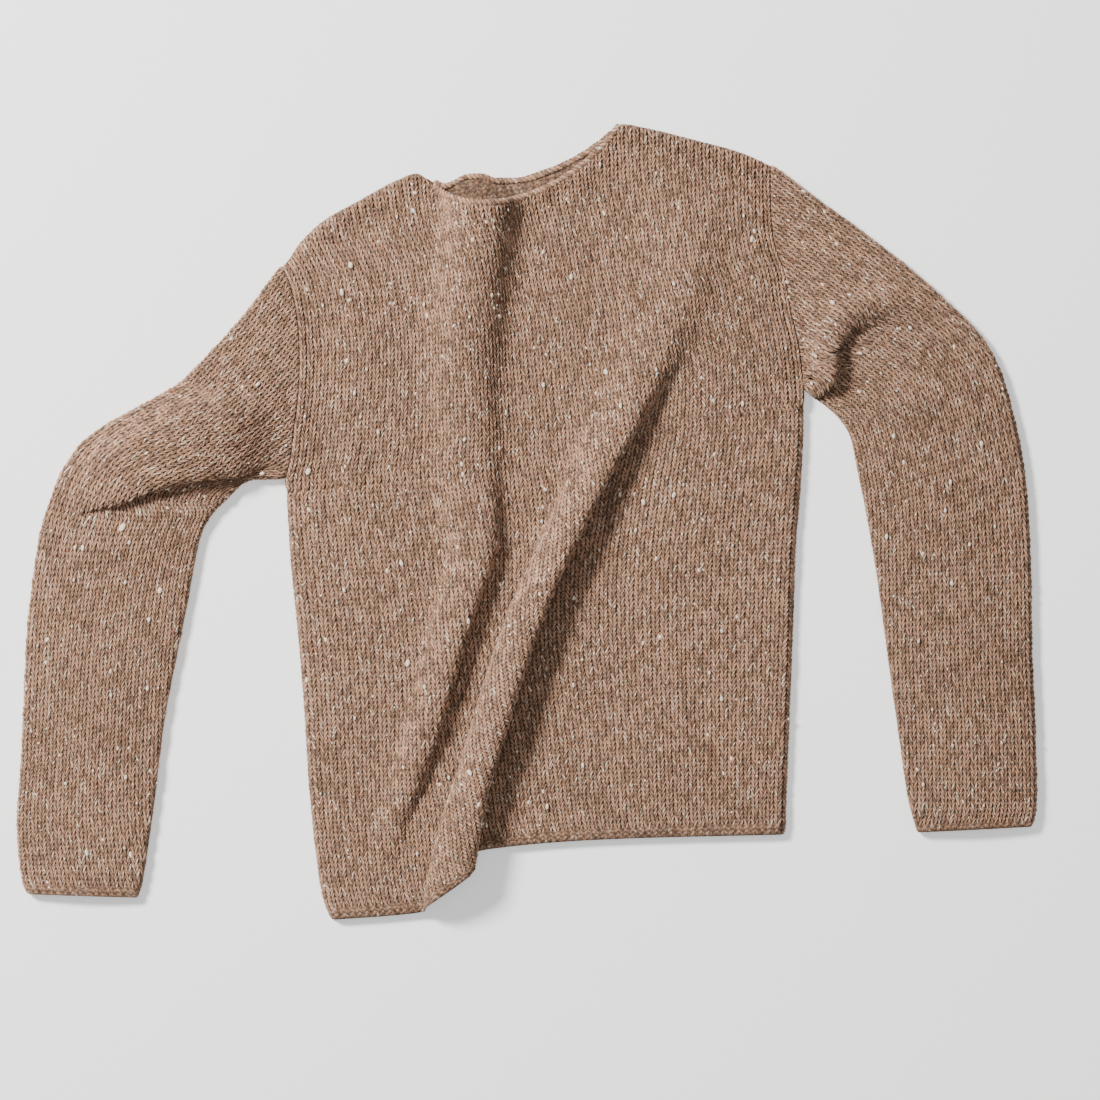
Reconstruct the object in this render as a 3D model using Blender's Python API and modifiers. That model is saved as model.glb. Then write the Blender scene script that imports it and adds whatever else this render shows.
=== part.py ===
"""A boat neck sweater in bulky tweed knit, laid out flat with its front up.

Front, back, two sleeves and the two halves of the neck edging are separate pieces of cloth,
each a wall of even thickness. The back lies flat on the ground, the front lies on it and wraps
round its sides, and each sleeve is a flattened tube. The front carries a soft pleat that falls
from the neck and a tall roll that leans to the right and widens towards the hem. A tuck in each
sleeve takes up the cloth on the inner side of the bend.

Sizes are in millimetres and are turned into metres when a mesh is made. +X is the wearer's left,
+Y runs from the hem to the shoulders and +Z is up, away from the ground.
"""

import math

import bmesh
import bpy
import numpy as np

MM = 0.001

# Cloth
WALL = 4.0  # thickness of the knit
LAYER_GAP = 2.0  # air between two layers that lie on each other
SEAM_GAP = 1.2  # between two pieces where they are sewn together
LOW_MID = WALL / 2  # middle of a wall that lies on the ground
HIGH_MID = LOW_MID + WALL + LAYER_GAP  # middle of a wall that lies on that one

# Body, laid out
LEFT_HEM_Y = -333.0  # hem at the left side seam
RIGHT_HEM_Y = -261.5  # hem at the right side seam
UNDERARM = 366.0  # height of the underarm over the hem, along both side seams
LEFT_TIP = 549.0  # height of the left shoulder's tip over the hem
RIGHT_TIP = 561.0
TOP_LEVEL = 640.0  # past the highest point of the cloth

EDGE_COLUMNS = ("level", "left", "right")
BODY_EDGES = (
    (0, -165.5, 217.6),
    (20, -172.5, 218.2),
    (60, -178.5, 219.6),
    (120, -184.3, 222.0),
    (180, -188.0, 224.3),
    (240, -193.0, 226.4),
    (300, -199.0, 231.0),
    (350, -202.0, 232.7),
    (366, -203.0, 232.7),
    (385, -198.5, 231.0),
    (410, -195.5, 228.0),
    (440, -192.0, 221.0),
    (470, -190.7, 216.0),
    (500, -192.4, 206.5),
    (530, -198.0, 204.3),
    (549, -206.6, 204.1),
    (561, -213.0, 204.1),
    (640, -226.0, 204.1),
)

# A fold is one wave of cloth across the body: where its left foot stands, how far apart its
# feet are, how high it stands, how upright its flanks are (1 is vertical, more overhangs) and
# how far its crest leans to the right.
FOLD_COLUMNS = ("level", "start", "width", "height", "upright", "lean")
PLEAT = (
    (0, -138, 34, 0, 0.2, 0),
    (60, -134, 40, 2, 0.3, 2),
    (120, -115, 47, 7, 0.5, 5),
    (180, -97, 51, 10, 0.6, 6),
    (240, -85, 60, 13, 0.7, 7),
    (300, -78, 73, 13, 0.7, 7),
    (366, -85, 82, 10, 0.6, 5),
    (430, -92, 84, 9, 0.5, 4),
    (500, -87, 89, 14, 0.7, 4),
    (560, -83, 94, 17, 0.8, 4),
    (640, -81, 96, 18, 0.8, 4),
)
ROLL = (
    (0, -96, 55, 30, 1.15, 19),
    (60, -85, 55, 31, 1.15, 18),
    (120, -65, 52, 31, 1.15, 15),
    (180, -45, 49, 29, 1.15, 14),
    (240, -23, 47, 27, 1.1, 13),
    (300, -3, 55, 24, 0.9, 13),
    (366, 16, 76, 18, 0.7, 12),
    (430, 42, 90, 11, 0.4, 8),
    (500, 66, 92, 4, 0.2, 3),
    (560, 66, 84, 0, 0.0, 0),
    (640, 66, 80, 0, 0.0, 0),
)

# How far a course of stitches has climbed over its left end when it comes to the roll, and
# when it leaves it again.
CLIMB_COLUMNS = ("level", "at_roll", "past_roll")
CLIMB = (
    (0, 6, 59),
    (120, 9, 55),
    (240, 16, 52),
    (366, 28, 49),
    (430, 36, 54),
    (500, 46, 62),
    (560, 50, 66),
    (640, 52, 66),
)

# Shoulders and neck, from the left tip to the right tip. The neck rows are the knit's own edge,
# which the edging stands in front of.
TOP_COLUMNS = ("x", "front_y", "back_y")
TOP_EDGE = (
    (-230, 190.0, 190.0),
    (-206.6, 216.7, 216.7),
    (-190.7, 236.9, 236.9),
    (-172.2, 253.7, 253.7),
    (-142.8, 270.5, 270.5),
    (-110.0, 288.0, 288.0),
    (-92.0, 294.0, 294.0),
    (-82.0, 288.0, 289.5),
    (-70.0, 277.0, 283.0),
    (-50.0, 268.8, 291.0),
    (-38.0, 267.8, 291.5),
    (-25.0, 268.2, 287.5),
    (-9.0, 272.2, 288.0),
    (20.0, 284.0, 296.5),
    (47.0, 302.0, 310.0),
    (70.0, 325.0, 327.0),
    (79.0, 335.5, 335.5),
    (95.0, 333.0, 333.0),
    (145.0, 321.0, 321.0),
    (179.0, 311.6, 311.6),
    (204.1, 300.5, 300.5),
    (230.0, 287.0, 287.0),
)
NECK_LEFT = -86.0  # the neck edging runs between these
NECK_RIGHT = 73.0
EDGING_RADIUS = 2.2
EDGING_GAP = 0.9

# The front's edge rolls down round the back's edge along the sides and shoulders.
WRAP_REACH = 6.0
WRAP_DROP = 6.4
BACK_INSET = WALL + 1.8  # how far the back's edge lies inside the front's
BACK_FOLD_HEIGHT = 0.1  # the back's folds, as a share of the front's that stand over them
BACK_FOLD_INSET = 0.27
STRAIGHT_EDGE = 10.0  # length over which a wrapped edge turns into a sewn one

# Sleeves, as rings from the armhole to the cuff. A ring joins a point of the outer edge to one
# of the inner edge, and its middle bows towards the body.
RING_COLUMNS = ("outer_x", "outer_y", "inner_x", "inner_y", "bow")
LEFT_RINGS = (
    (-206.6, 216.7, -203.5, 33.6, 0),
    (-240.0, 172.5, -212.0, 36.0, 0),
    (-268.0, 141.5, -219.5, 37.0, -2),
    (-294.0, 116.0, -225.5, 37.0, -5),
    (-322.0, 99.5, -230.5, 35.5, -8),
    (-349.0, 85.5, -235.5, 33.0, -10),
    (-373.0, 68.0, -242.0, 28.0, -10),
    (-390.0, 45.0, -250.5, 19.5, -9),
    (-400.5, 20.0, -261.5, 8.5, -8),
    (-409.0, -8.0, -270.5, -6.5, -7),
    (-415.5, -49.0, -277.0, -31.5, -5),
    (-420.0, -90.0, -283.0, -66.0, -2),
    (-422.5, -141.0, -292.0, -110.0, 0),
    (-425.0, -200.0, -303.0, -168.5, 0),
    (-428.5, -254.0, -311.5, -237.5, 0),
    (-424.0, -301.0, -321.5, -304.0, 0),
    (-419.5, -312.0, -326.0, -315.0, 0),
)
RIGHT_RINGS = (
    (204.1, 301.6, 234.4, 106.5, 0),
    (247.0, 269.5, 238.0, 105.5, 10),
    (289.5, 238.5, 241.5, 103.5, 18),
    (327.5, 208.5, 246.5, 99.5, 21),
    (355.0, 183.0, 252.5, 93.5, 18),
    (376.0, 163.0, 261.0, 85.5, 12),
    (395.5, 133.0, 270.5, 69.0, 6),
    (408.0, 94.0, 276.5, 39.5, 3),
    (419.0, 35.0, 284.0, 2.0, 0),
    (423.5, -40.0, 292.5, -49.0, 0),
    (424.5, -107.5, 301.5, -116.0, 0),
    (427.5, -183.0, 311.0, -183.0, 0),
    (428.5, -233.5, 318.5, -233.5, 0),
    (424.5, -255.5, 326.0, -260.5, 0),
)
PUFF = 3.0  # how much higher a sleeve stands along its middle

# A tuck is one fold across a sleeve's upper side: between which rings it lies, how high and how
# far forward it stands at the inner edge, how upright it is, and the share of the sleeve's
# width over which it dies out.
LEFT_TUCK = {"first": 1.4, "last": 7.2, "height": 11.0, "lean": 5.0, "upright": 0.6, "reach": 0.9}
RIGHT_TUCK = {"first": 0.6, "last": 5.4, "height": 14.0, "lean": 7.0, "upright": 0.6, "reach": 0.62}

# How finely each piece is divided
FLAT_STEPS = 6
PLEAT_STEPS = 9
ROLL_STEPS = 14
BETWEEN_STEPS = 4
RIGHT_STEPS = 7
SIDE_ROWS = 11
UPPER_STEPS = 12
LOWER_STEPS = 6
ROUND_STEPS = 4
RING_STEPS = 22
EDGING_POINTS = 26

ROUGHNESS = 0.95
KNITS = {
    "front": ("front_knit", (0.34, 0.215, 0.155, 1.0)),
    "back": ("back_knit", (0.33, 0.208, 0.15, 1.0)),
    "sleeve_left": ("left_sleeve_knit", (0.34, 0.215, 0.155, 1.0)),
    "sleeve_right": ("right_sleeve_knit", (0.32, 0.2, 0.143, 1.0)),
    "neck_edge_front": ("front_edging_knit", (0.35, 0.222, 0.16, 1.0)),
    "neck_edge_back": ("back_edging_knit", (0.33, 0.208, 0.15, 1.0)),
}


def named(table, columns, name):
    """The values of one named column of a table."""
    return np.array([row[columns.index(name)] for row in table], float)


def smooth(x, xs, ys):
    """A curve through the points that never swings past them."""
    h = np.diff(xs)
    slope = np.diff(ys) / h
    bend = np.zeros(len(xs))
    for i in range(1, len(xs) - 1):
        if slope[i - 1] * slope[i] > 0:
            near, far = 2 * h[i] + h[i - 1], h[i] + 2 * h[i - 1]
            bend[i] = (near + far) / (near / slope[i - 1] + far / slope[i])
    bend[0], bend[-1] = slope[0], slope[-1]
    x = np.clip(x, xs[0], xs[-1])
    i = np.clip(np.searchsorted(xs, x, side="right") - 1, 0, len(h) - 1)
    t = (x - xs[i]) / h[i]
    a = (1 + 2 * t) * (1 - t) ** 2 * ys[i] + t * (1 - t) ** 2 * h[i] * bend[i]
    b = t * t * (3 - 2 * t) * ys[i + 1] + t * t * (t - 1) * h[i] * bend[i + 1]
    return a + b


def ease(t):
    """0 to 1, with no kink at either end."""
    t = np.clip(t, 0.0, 1.0)
    return t * t * (3 - 2 * t)


def wave(u, width, height, upright, lean):
    """One fold: how far along and how high its cloth is, for u from foot to foot."""
    along = width * (u + upright * math.sin(4 * math.pi * u) / (4 * math.pi))
    rise = math.sin(math.pi * u) ** 2
    return along + lean * rise, height * rise


def fold_at(table, level, share=1.0, inset=0.0):
    """A body fold's start, width, height, upright and lean at a level."""
    levels = named(table, FOLD_COLUMNS, "level")
    start, width, height, upright, lean = (
        float(smooth(level, levels, named(table, FOLD_COLUMNS, n))) for n in FOLD_COLUMNS[1:]
    )
    foot, span = start + inset * width, width * (1 - 2 * inset)
    return foot, span, height * share, upright * share, lean * share


def armhole(side, v):
    """The line where a sleeve is sewn on, v from the underarm (0) to the shoulder's tip (1)."""
    tip, hem_y = (LEFT_TIP, LEFT_HEM_Y) if side == "left" else (RIGHT_TIP, RIGHT_HEM_Y)
    level = UNDERARM + v * (tip - UNDERARM)
    levels = named(BODY_EDGES, EDGE_COLUMNS, "level")
    x = float(smooth(level, levels, named(BODY_EDGES, EDGE_COLUMNS, side)))
    return np.array([x, hem_y + level])


class BodyPanel:
    """The front or the back: courses of stitches, one over the other, cut by the top edge."""

    def __init__(self, front):
        self.front = front
        self.mid = HIGH_MID if front else LOW_MID
        self.edge_inset = WALL / 2 if front else BACK_INSET
        steps = (FLAT_STEPS, PLEAT_STEPS, BETWEEN_STEPS, ROLL_STEPS, RIGHT_STEPS)
        self.steps = steps if front else tuple(math.ceil(n * 0.6) for n in steps)
        self.rows = UPPER_STEPS if front else LOWER_STEPS

    def fold(self, table, level):
        """A fold of this panel at a level."""
        if self.front:
            return fold_at(table, level)
        return fold_at(table, level, BACK_FOLD_HEIGHT, BACK_FOLD_INSET)

    def sewn(self, level):
        """1 where the side edge is sewn to a sleeve, 0 where it is a side seam."""
        return float(ease((level - UNDERARM) / STRAIGHT_EDGE + (1 if self.front else 0)))

    def ends(self, level):
        """The two ends of a course, in plan."""
        levels = named(BODY_EDGES, EDGE_COLUMNS, "level")
        inset = self.edge_inset + (SEAM_GAP / 2 - self.edge_inset) * self.sewn(level)
        left = float(smooth(level, levels, named(BODY_EDGES, EDGE_COLUMNS, "left"))) + inset
        right = float(smooth(level, levels, named(BODY_EDGES, EDGE_COLUMNS, "right"))) - inset
        return left, right

    def course(self, level):
        """The points of one course, from the left edge to the right one."""
        left, right = self.ends(level)
        pleat, roll = self.fold(PLEAT, level), self.fold(ROLL, level)
        flat, pleat_n, between, roll_n, right_n = self.steps
        wrap = WRAP_REACH if self.front else 0.0
        along = []
        for d in (0.0, 0.2 * wrap, 0.55 * wrap) if self.front else (0.0,):
            along.append((left + d, 0.0))
        for k in range(flat + 1):
            along.append((left + wrap + (pleat[0] - left - wrap) * k / flat, 0.0))
        for k in range(1, pleat_n + 1):
            x, z = wave(k / pleat_n, *pleat[1:])
            along.append((pleat[0] + x, z))
        pleat_end = pleat[0] + pleat[1]
        for k in range(1, between + 1):
            along.append((pleat_end + (roll[0] - pleat_end) * k / between, 0.0))
        for k in range(1, roll_n + 1):
            x, z = wave(k / roll_n, *roll[1:])
            along.append((roll[0] + x, z))
        roll_end = roll[0] + roll[1]
        for k in range(1, right_n + 1):
            along.append((roll_end + (right - wrap - roll_end) * k / right_n, 0.0))
        for d in (0.55 * wrap, 0.2 * wrap, 0.0) if self.front else ():
            along.append((right - d, 0.0))
        points = np.array(along)
        run = np.concatenate([[0], np.cumsum(np.hypot(*np.diff(points, axis=0).T))])
        here = run[flat + pleat_n + between + (3 if self.front else 1)]
        there = run[-right_n - (4 if self.front else 1)]
        here, there = (here + 15, there) if self.front else (here - 20, there - 6)
        levels = named(CLIMB, CLIMB_COLUMNS, "level")
        climb = [0.0]
        climb += [float(smooth(level, levels, named(CLIMB, CLIMB_COLUMNS, n))) for n in CLIMB_COLUMNS[1:]]
        end = RIGHT_HEM_Y - LEFT_HEM_Y
        climb += [climb[-1] + 0.72 * (end - climb[-1]), end]
        marks = np.array([0, here, there, there + 0.45 * (run[-1] - there), run[-1]])
        y = LEFT_HEM_Y + level + smooth(run, marks, np.array(climb))
        return np.stack([points[:, 0], y, points[:, 1]], axis=1)

    def top_y(self, x):
        """The shoulder and neck edge."""
        name = "front_y" if self.front else "back_y"
        xs = named(TOP_EDGE, TOP_COLUMNS, "x")
        return float(smooth(x, xs, named(TOP_EDGE, TOP_COLUMNS, name)))

    def is_shoulder(self, x):
        """1 along the shoulders and 0 along the neck."""
        start, length = (6, 16) if self.front else (-2, 8)
        return float(ease((NECK_LEFT - start - x) / length) + ease((x - NECK_RIGHT - start) / length))

    def points(self):
        """The wall's middle, as a grid of rows from the hem up."""
        levels = np.linspace(0, TOP_LEVEL, 161)
        courses = np.array([self.course(level) for level in levels])
        grid = []
        for column in courses.transpose(1, 0, 2):
            over = np.array([p[1] - self.top_y(p[0]) for p in column])
            above = int(np.argmax(over > 0))
            t = over[above - 1] / (over[above - 1] - over[above])
            top = levels[above - 1] + t * (levels[above] - levels[above - 1])
            x = np.interp(top, levels, column[:, 0])
            slant = math.hypot(1, (self.top_y(x + 1) - self.top_y(x - 1)) / 2)
            if self.front:
                top -= WALL / 2 * slant
                rolled = np.array([1.0, 0.55, 0.2, 0.0]) * WRAP_REACH * slant
            else:
                top -= (WALL / 2 + (BACK_INSET - WALL / 2) * self.is_shoulder(x)) * slant
                rolled = np.array([0.0])
            side = np.linspace(0, UNDERARM - STRAIGHT_EDGE, SIDE_ROWS)
            armhole_rows = UNDERARM + (top - UNDERARM) * np.arange(self.rows) / self.rows
            cuts = [*side, *armhole_rows, *(top - rolled)]
            line = []
            for level in cuts:
                x, y, z = (float(np.interp(level, levels, column[:, k])) for k in range(3))
                line.append((x, y, self.mid + z - self.drop(x, level, (top - level) / slant)))
            grid.append(line)
        return np.array(grid).transpose(1, 0, 2)

    def drop(self, x, level, below_top):
        """How far the front's edge rolls down round the back's."""
        if not self.front:
            return 0.0
        left, right = self.ends(level)
        side = min(x - left, right - x) + WRAP_REACH * self.sewn(level)
        top = below_top + WRAP_REACH * (1 - self.is_shoulder(x))
        near = 1 - np.clip(np.array([side, top]) / WRAP_REACH, 0, 1)
        return WRAP_DROP * (1 - math.sqrt(max(0.0, 1 - float(near.max()) ** 2)))


def sleeve_points(side, rings, tuck):
    """The middle of a sleeve's wall, as closed rings from the armhole to the cuff."""
    at = np.arange(len(rings), dtype=float)
    column = {n: named(rings, RING_COLUMNS, n) for n in RING_COLUMNS}
    turn = (HIGH_MID - LOW_MID) / 2
    inset = WALL / 2 + turn + SEAM_GAP / 2
    outer_0, inner_0 = np.array(rings[0][:2], float), np.array(rings[0][2:4], float)

    def flat(ring, v):
        """A point of the laid-out sleeve, v from its inner edge (0) to its outer edge (1)."""
        ends = [float(smooth(ring, at, column[n])) for n in RING_COLUMNS[:4]]
        outer, inner = np.array(ends[:2]), np.array(ends[2:])
        across = outer - inner
        length = np.linalg.norm(across)
        back = np.array([-across[1], across[0]]) / length * (1 if side == "right" else -1)
        place = inner + across * v + back * float(smooth(ring, at, column["bow"])) * 4 * v * (1 - v)
        first = inner_0 + (outer_0 - inner_0) * v
        place = place + (armhole(side, v) - first) * (1 - float(ease(ring / 2.5)))
        return place, length, -back

    def upper(ring, v):
        """A point of the upper side: its plan, and its height over the flat sleeve."""
        place, length, onward = flat(ring, v)
        puff = PUFF * math.sin(math.pi * min(max(v, 0), 1)) * float(ease(ring / 2))
        u = (ring - tuck["first"]) / (tuck["last"] - tuck["first"])
        if not 0 < u < 1:
            return place, puff
        fade = (1 - float(ease(v / tuck["reach"]))) * (0.6 + 0.4 * float(ease(v / 0.2)))
        width = float(np.linalg.norm(flat(tuck["last"], v)[0] - flat(tuck["first"], v)[0]))
        along, rise = wave(u, width, tuck["height"] * fade, tuck["upright"] * fade, tuck["lean"] * fade)
        return place + onward * (along - width * u), puff + rise

    grid = []
    last = len(rings) - 1
    even = np.linspace(0, last, RING_STEPS + 1)
    within = np.linspace(tuck["first"], tuck["last"], 13)
    apart = [float(r) for r in even if not within[0] - 0.2 < r < within[-1] + 0.2]
    marks = sorted(apart + [float(r) for r in within])
    for ring in marks:
        _, length, onward = flat(ring, 0.5)
        shift = onward * (SEAM_GAP / 2 if ring == 0 else 0)
        v_in, v_out = inset / length, 1 - inset / length
        loop = []
        for k in range(UPPER_STEPS + 1):
            v = min(max(k / UPPER_STEPS, v_in), v_out)
            place, rise = upper(ring, v)
            loop.append((*(place + shift), HIGH_MID + rise))
        for v, way, steps in ((v_out, 1, range(1, ROUND_STEPS)), (v_in, -1, range(ROUND_STEPS - 1, 0, -1))):
            if way == -1:
                for k in range(LOWER_STEPS + 1):
                    low = min(max(1 - k / LOWER_STEPS, v_in), v_out)
                    place, _, _ = flat(ring, low)
                    loop.append((*(place + shift), LOW_MID))
            for k in steps:
                angle = math.pi * k / ROUND_STEPS
                share = (1 + math.cos(angle)) / 2
                high, rise = upper(ring, v)
                low = flat(ring, v)[0]
                out = (flat(ring, 0.5 + 0.5 * way)[0] - low) / inset
                place = low + (high - low) * share + out * turn * math.sin(angle)
                loop.append((*(place + shift), LOW_MID + (HIGH_MID + rise - LOW_MID) * share))
        grid.append(loop)
    return np.array(grid)


def add_material(node):
    """The finish of one piece of cloth."""
    name, colour = KNITS[node]
    material = bpy.data.materials.new(name)
    material.use_nodes = True
    shader = material.node_tree.nodes["Principled BSDF"]
    shader.inputs["Base Color"].default_value = colour
    shader.inputs["Roughness"].default_value = ROUGHNESS
    shader.inputs["Metallic"].default_value = 0.0
    return material


def cloth_wall(name, grid, collection, closed=False):
    """A wall of cloth round a grid of points; a closed one joins its last column to its first."""
    rows, columns = grid.shape[:2]
    shape = bmesh.new()
    bmesh.ops.create_grid(shape, x_segments=columns - (0 if closed else 1), y_segments=rows - 1, size=1.0)
    shape.verts.ensure_lookup_table()
    order = sorted(shape.verts, key=lambda v: (round(v.co.y, 6), round(v.co.x, 6)))
    wide = columns + (1 if closed else 0)
    for i, vertex in enumerate(order):
        row, column = divmod(i, wide)
        vertex.co = [float(c) * MM for c in grid[row, column % columns]]
    if closed:
        bmesh.ops.remove_doubles(shape, verts=shape.verts, dist=0.01 * MM)
    mesh = bpy.data.meshes.new(name)
    shape.to_mesh(mesh)
    shape.free()
    mesh.materials.append(add_material(name))
    mesh.shade_smooth()
    piece = bpy.data.objects.new(name, mesh)
    collection.objects.link(piece)
    wall = piece.modifiers.new("wall", "SOLIDIFY")
    wall.thickness = WALL * MM
    wall.offset = 0.0
    wall.use_even_offset = False
    return piece


def neck_edging(name, panel, collection):
    """The narrow bound edge in front of a panel's neck line."""
    edge = panel.points()[-1]
    along = np.linspace(NECK_LEFT + 8, NECK_RIGHT - 5, EDGING_POINTS)
    place = np.stack([np.interp(along, edge[:, 0], edge[:, k]) for k in range(3)], axis=1)
    way = np.gradient(place, axis=0)
    out = np.stack([-way[:, 1], way[:, 0], np.zeros(len(way))], axis=1)
    out /= np.linalg.norm(out, axis=1)[:, None]
    centre = place + out * (EDGING_RADIUS + EDGING_GAP)
    centre[[0, -1], 2] = centre[[1, -2], 2]
    centre[:, 2] = np.maximum(centre[:, 2], EDGING_RADIUS + 0.1)
    curve = bpy.data.curves.new(name, "CURVE")
    curve.dimensions = "3D"
    curve.bevel_depth = EDGING_RADIUS * MM
    curve.bevel_resolution = 2
    curve.use_fill_caps = True
    line = curve.splines.new("POLY")
    line.points.add(len(centre) - 1)
    for point, c in zip(line.points, centre):
        point.co = (*(float(v) * MM for v in c), 1.0)
    curve.materials.append(add_material(name))
    piece = bpy.data.objects.new(name, curve)
    collection.objects.link(piece)
    return piece


def main():
    for old in list(bpy.data.objects):
        bpy.data.objects.remove(old)
    sweater = bpy.data.collections.new("boat_neck_sweater")
    bpy.context.scene.collection.children.link(sweater)
    front, back = BodyPanel(front=True), BodyPanel(front=False)
    cloth_wall("front", front.points(), sweater)
    cloth_wall("back", back.points(), sweater)
    cloth_wall("sleeve_left", sleeve_points("left", LEFT_RINGS, LEFT_TUCK), sweater, closed=True)
    cloth_wall("sleeve_right", sleeve_points("right", RIGHT_RINGS, RIGHT_TUCK), sweater, closed=True)
    neck_edging("neck_edge_front", front, sweater)
    neck_edging("neck_edge_back", back, sweater)


main()
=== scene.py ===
"""Looks of a boat neck sweater in bulky tweed knit, laid out flat with its front up.

Each piece of cloth is a thin closed shell on the form of its solid. Its knit side carries the
relief of every stitch: two slanting legs for each wale and course, with a groove between them.
Neps of undyed wool sit in the stitches, and short loose fibres stand off the yarn.

Sizes are in millimetres and are turned into metres when a mesh is made. +X is the wearer's left,
+Y runs from the hem to the shoulders and +Z is up, away from the ground.
"""

import logging
import math
from dataclasses import dataclass, field
from enum import Enum
from typing import Any, Sequence

import bmesh
import bpy
import numpy as np
from mathutils import Matrix, Vector


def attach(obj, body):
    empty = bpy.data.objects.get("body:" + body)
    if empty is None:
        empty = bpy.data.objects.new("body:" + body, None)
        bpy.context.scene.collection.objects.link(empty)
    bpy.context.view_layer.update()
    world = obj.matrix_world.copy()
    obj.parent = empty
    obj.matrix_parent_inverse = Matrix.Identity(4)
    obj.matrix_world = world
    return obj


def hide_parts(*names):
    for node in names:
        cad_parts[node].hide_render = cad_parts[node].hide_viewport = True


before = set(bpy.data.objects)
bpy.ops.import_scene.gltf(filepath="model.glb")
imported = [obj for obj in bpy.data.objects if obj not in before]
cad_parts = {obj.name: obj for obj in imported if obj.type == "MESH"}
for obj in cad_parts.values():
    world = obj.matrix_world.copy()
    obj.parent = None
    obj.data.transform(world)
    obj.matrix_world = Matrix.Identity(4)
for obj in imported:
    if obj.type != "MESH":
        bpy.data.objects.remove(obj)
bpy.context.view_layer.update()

Array = np.ndarray
log = logging.getLogger("sweater")

MM = 0.001
TURN = 2 * math.pi


def smooth(x: Any, xs: Array, ys: Array) -> Array:
    """A curve through points that never swings past them.

    Args:
        x: where to read the curve, a number or an array.
        xs: the points' places, rising.
        ys: the points' values.

    Returns:
        The curve's values at x.
    """
    h = np.diff(xs)
    slope = np.diff(ys) / h
    bend = np.zeros(len(xs))
    for i in range(1, len(xs) - 1):
        if slope[i - 1] * slope[i] > 0:
            near, far = 2 * h[i] + h[i - 1], h[i] + 2 * h[i - 1]
            bend[i] = (near + far) / (near / slope[i - 1] + far / slope[i])
    bend[0], bend[-1] = slope[0], slope[-1]
    x = np.clip(x, xs[0], xs[-1])
    i = np.clip(np.searchsorted(xs, x, side="right") - 1, 0, len(h) - 1)
    t = (x - xs[i]) / h[i]
    a = (1 + 2 * t) * (1 - t) ** 2 * ys[i] + t * (1 - t) ** 2 * h[i] * bend[i]
    b = t * t * (3 - 2 * t) * ys[i + 1] + t * t * (t - 1) * h[i] * bend[i + 1]
    return a + b


@dataclass
class Table:
    """Rows of sizes under named columns."""

    names: str
    rows: Sequence[Sequence[float]]

    def __post_init__(self) -> None:
        """Finds each column's values."""
        names = self.names.split()
        self.column = {n: np.array([row[i] for row in self.rows], float) for i, n in enumerate(names)}

    def read(self, name: str, at: Any) -> Any:
        """One column as a smooth curve over the first one."""
        return smooth(at, next(iter(self.column.values())), self.column[name])

    def along(self, name: str, at: Any) -> Any:
        """One column as a smooth curve over the rows' numbers."""
        return smooth(at, np.arange(len(self.rows)), self.column[name])

    def line(self) -> Array:
        """The rows' places, in plan."""
        return np.stack([self.column["x"], self.column["y"]], axis=1)


WALL = 4.0  # thickness of the knit
LAYER_GAP = 2.0  # air between two layers that lie on each other
SEAM_GAP = 0.3  # between two pieces where they are sewn together
LOW_MID = WALL / 2  # middle of a wall that lies on the ground
HIGH_MID = LOW_MID + WALL + LAYER_GAP  # middle of a wall that lies on that one
LEAST_Z = 0.1  # the lowest that a face comes

LEFT_HEM_Y = -333.0  # hem at the left side seam
RIGHT_HEM_Y = -261.5  # hem at the right side seam
UNDERARM = 366.0  # height of the underarm over the hem
TOP_LEVEL = 640.0  # past the highest point of the cloth

BODY_EDGES = Table("level left right", (
    (0, -165.5, 217.6),
    (20, -172.5, 218.2),
    (60, -178.5, 219.6),
    (120, -184.3, 222.0),
    (180, -188.0, 224.3),
    (240, -193.0, 226.4),
    (300, -199.0, 231.0),
    (350, -202.0, 232.7),
    (366, -203.0, 232.7),
    (385, -198.5, 231.0),
    (410, -195.5, 228.0),
    (440, -192.0, 221.0),
    (470, -190.7, 216.0),
    (500, -192.4, 206.5),
    (530, -198.0, 204.3),
    (549, -206.6, 204.1),
    (561, -213.0, 204.1),
    (640, -226.0, 204.1),
))

# One wave of cloth across the body: where its left foot stands, how far apart its feet are, how
# high it stands, how upright its flanks are and how far its crest leans to the right.
FOLD = "level start width height upright lean"
PLEAT = Table(FOLD, (
    (0, -152, 38, 0, 0.2, 0),
    (60, -140, 42, 2, 0.3, 2),
    (120, -124, 49, 9, 0.6, 6),
    (180, -109, 53, 14, 0.8, 8),
    (240, -97, 61, 16, 0.85, 9),
    (300, -86, 75, 15, 0.65, 8),
    (366, -93, 87, 11, 0.25, 2),
    (430, -98, 92, 12, 0.25, 1),
    (500, -96, 98, 17, 0.4, 0),
    (560, -92, 103, 21, 0.45, 0),
    (640, -90, 105, 21, 0.45, 0),
))
ROLL = Table(FOLD, (
    (0, -107, 73, 24, 1.5, 9),
    (60, -92, 64, 25, 1.75, 9),
    (120, -71, 58, 26, 1.9, 9),
    (180, -52, 57, 27, 1.95, 9),
    (240, -31, 60, 26, 1.75, 9),
    (300, -5, 64, 24, 1.3, 12),
    (366, 22, 84, 18, 0.55, 11),
    (430, 48, 100, 9.5, 0.1, 7),
    (500, 70, 106, 4, 0.0, 3),
    (560, 72, 98, 0.5, 0.0, 0),
    (640, 72, 92, 0, 0.0, 0),
))
BACK_FOLD_HEIGHT = 0.1  # the back's folds, as a share of the front's that stand over them
BACK_FOLD_INSET = 0.27

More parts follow.
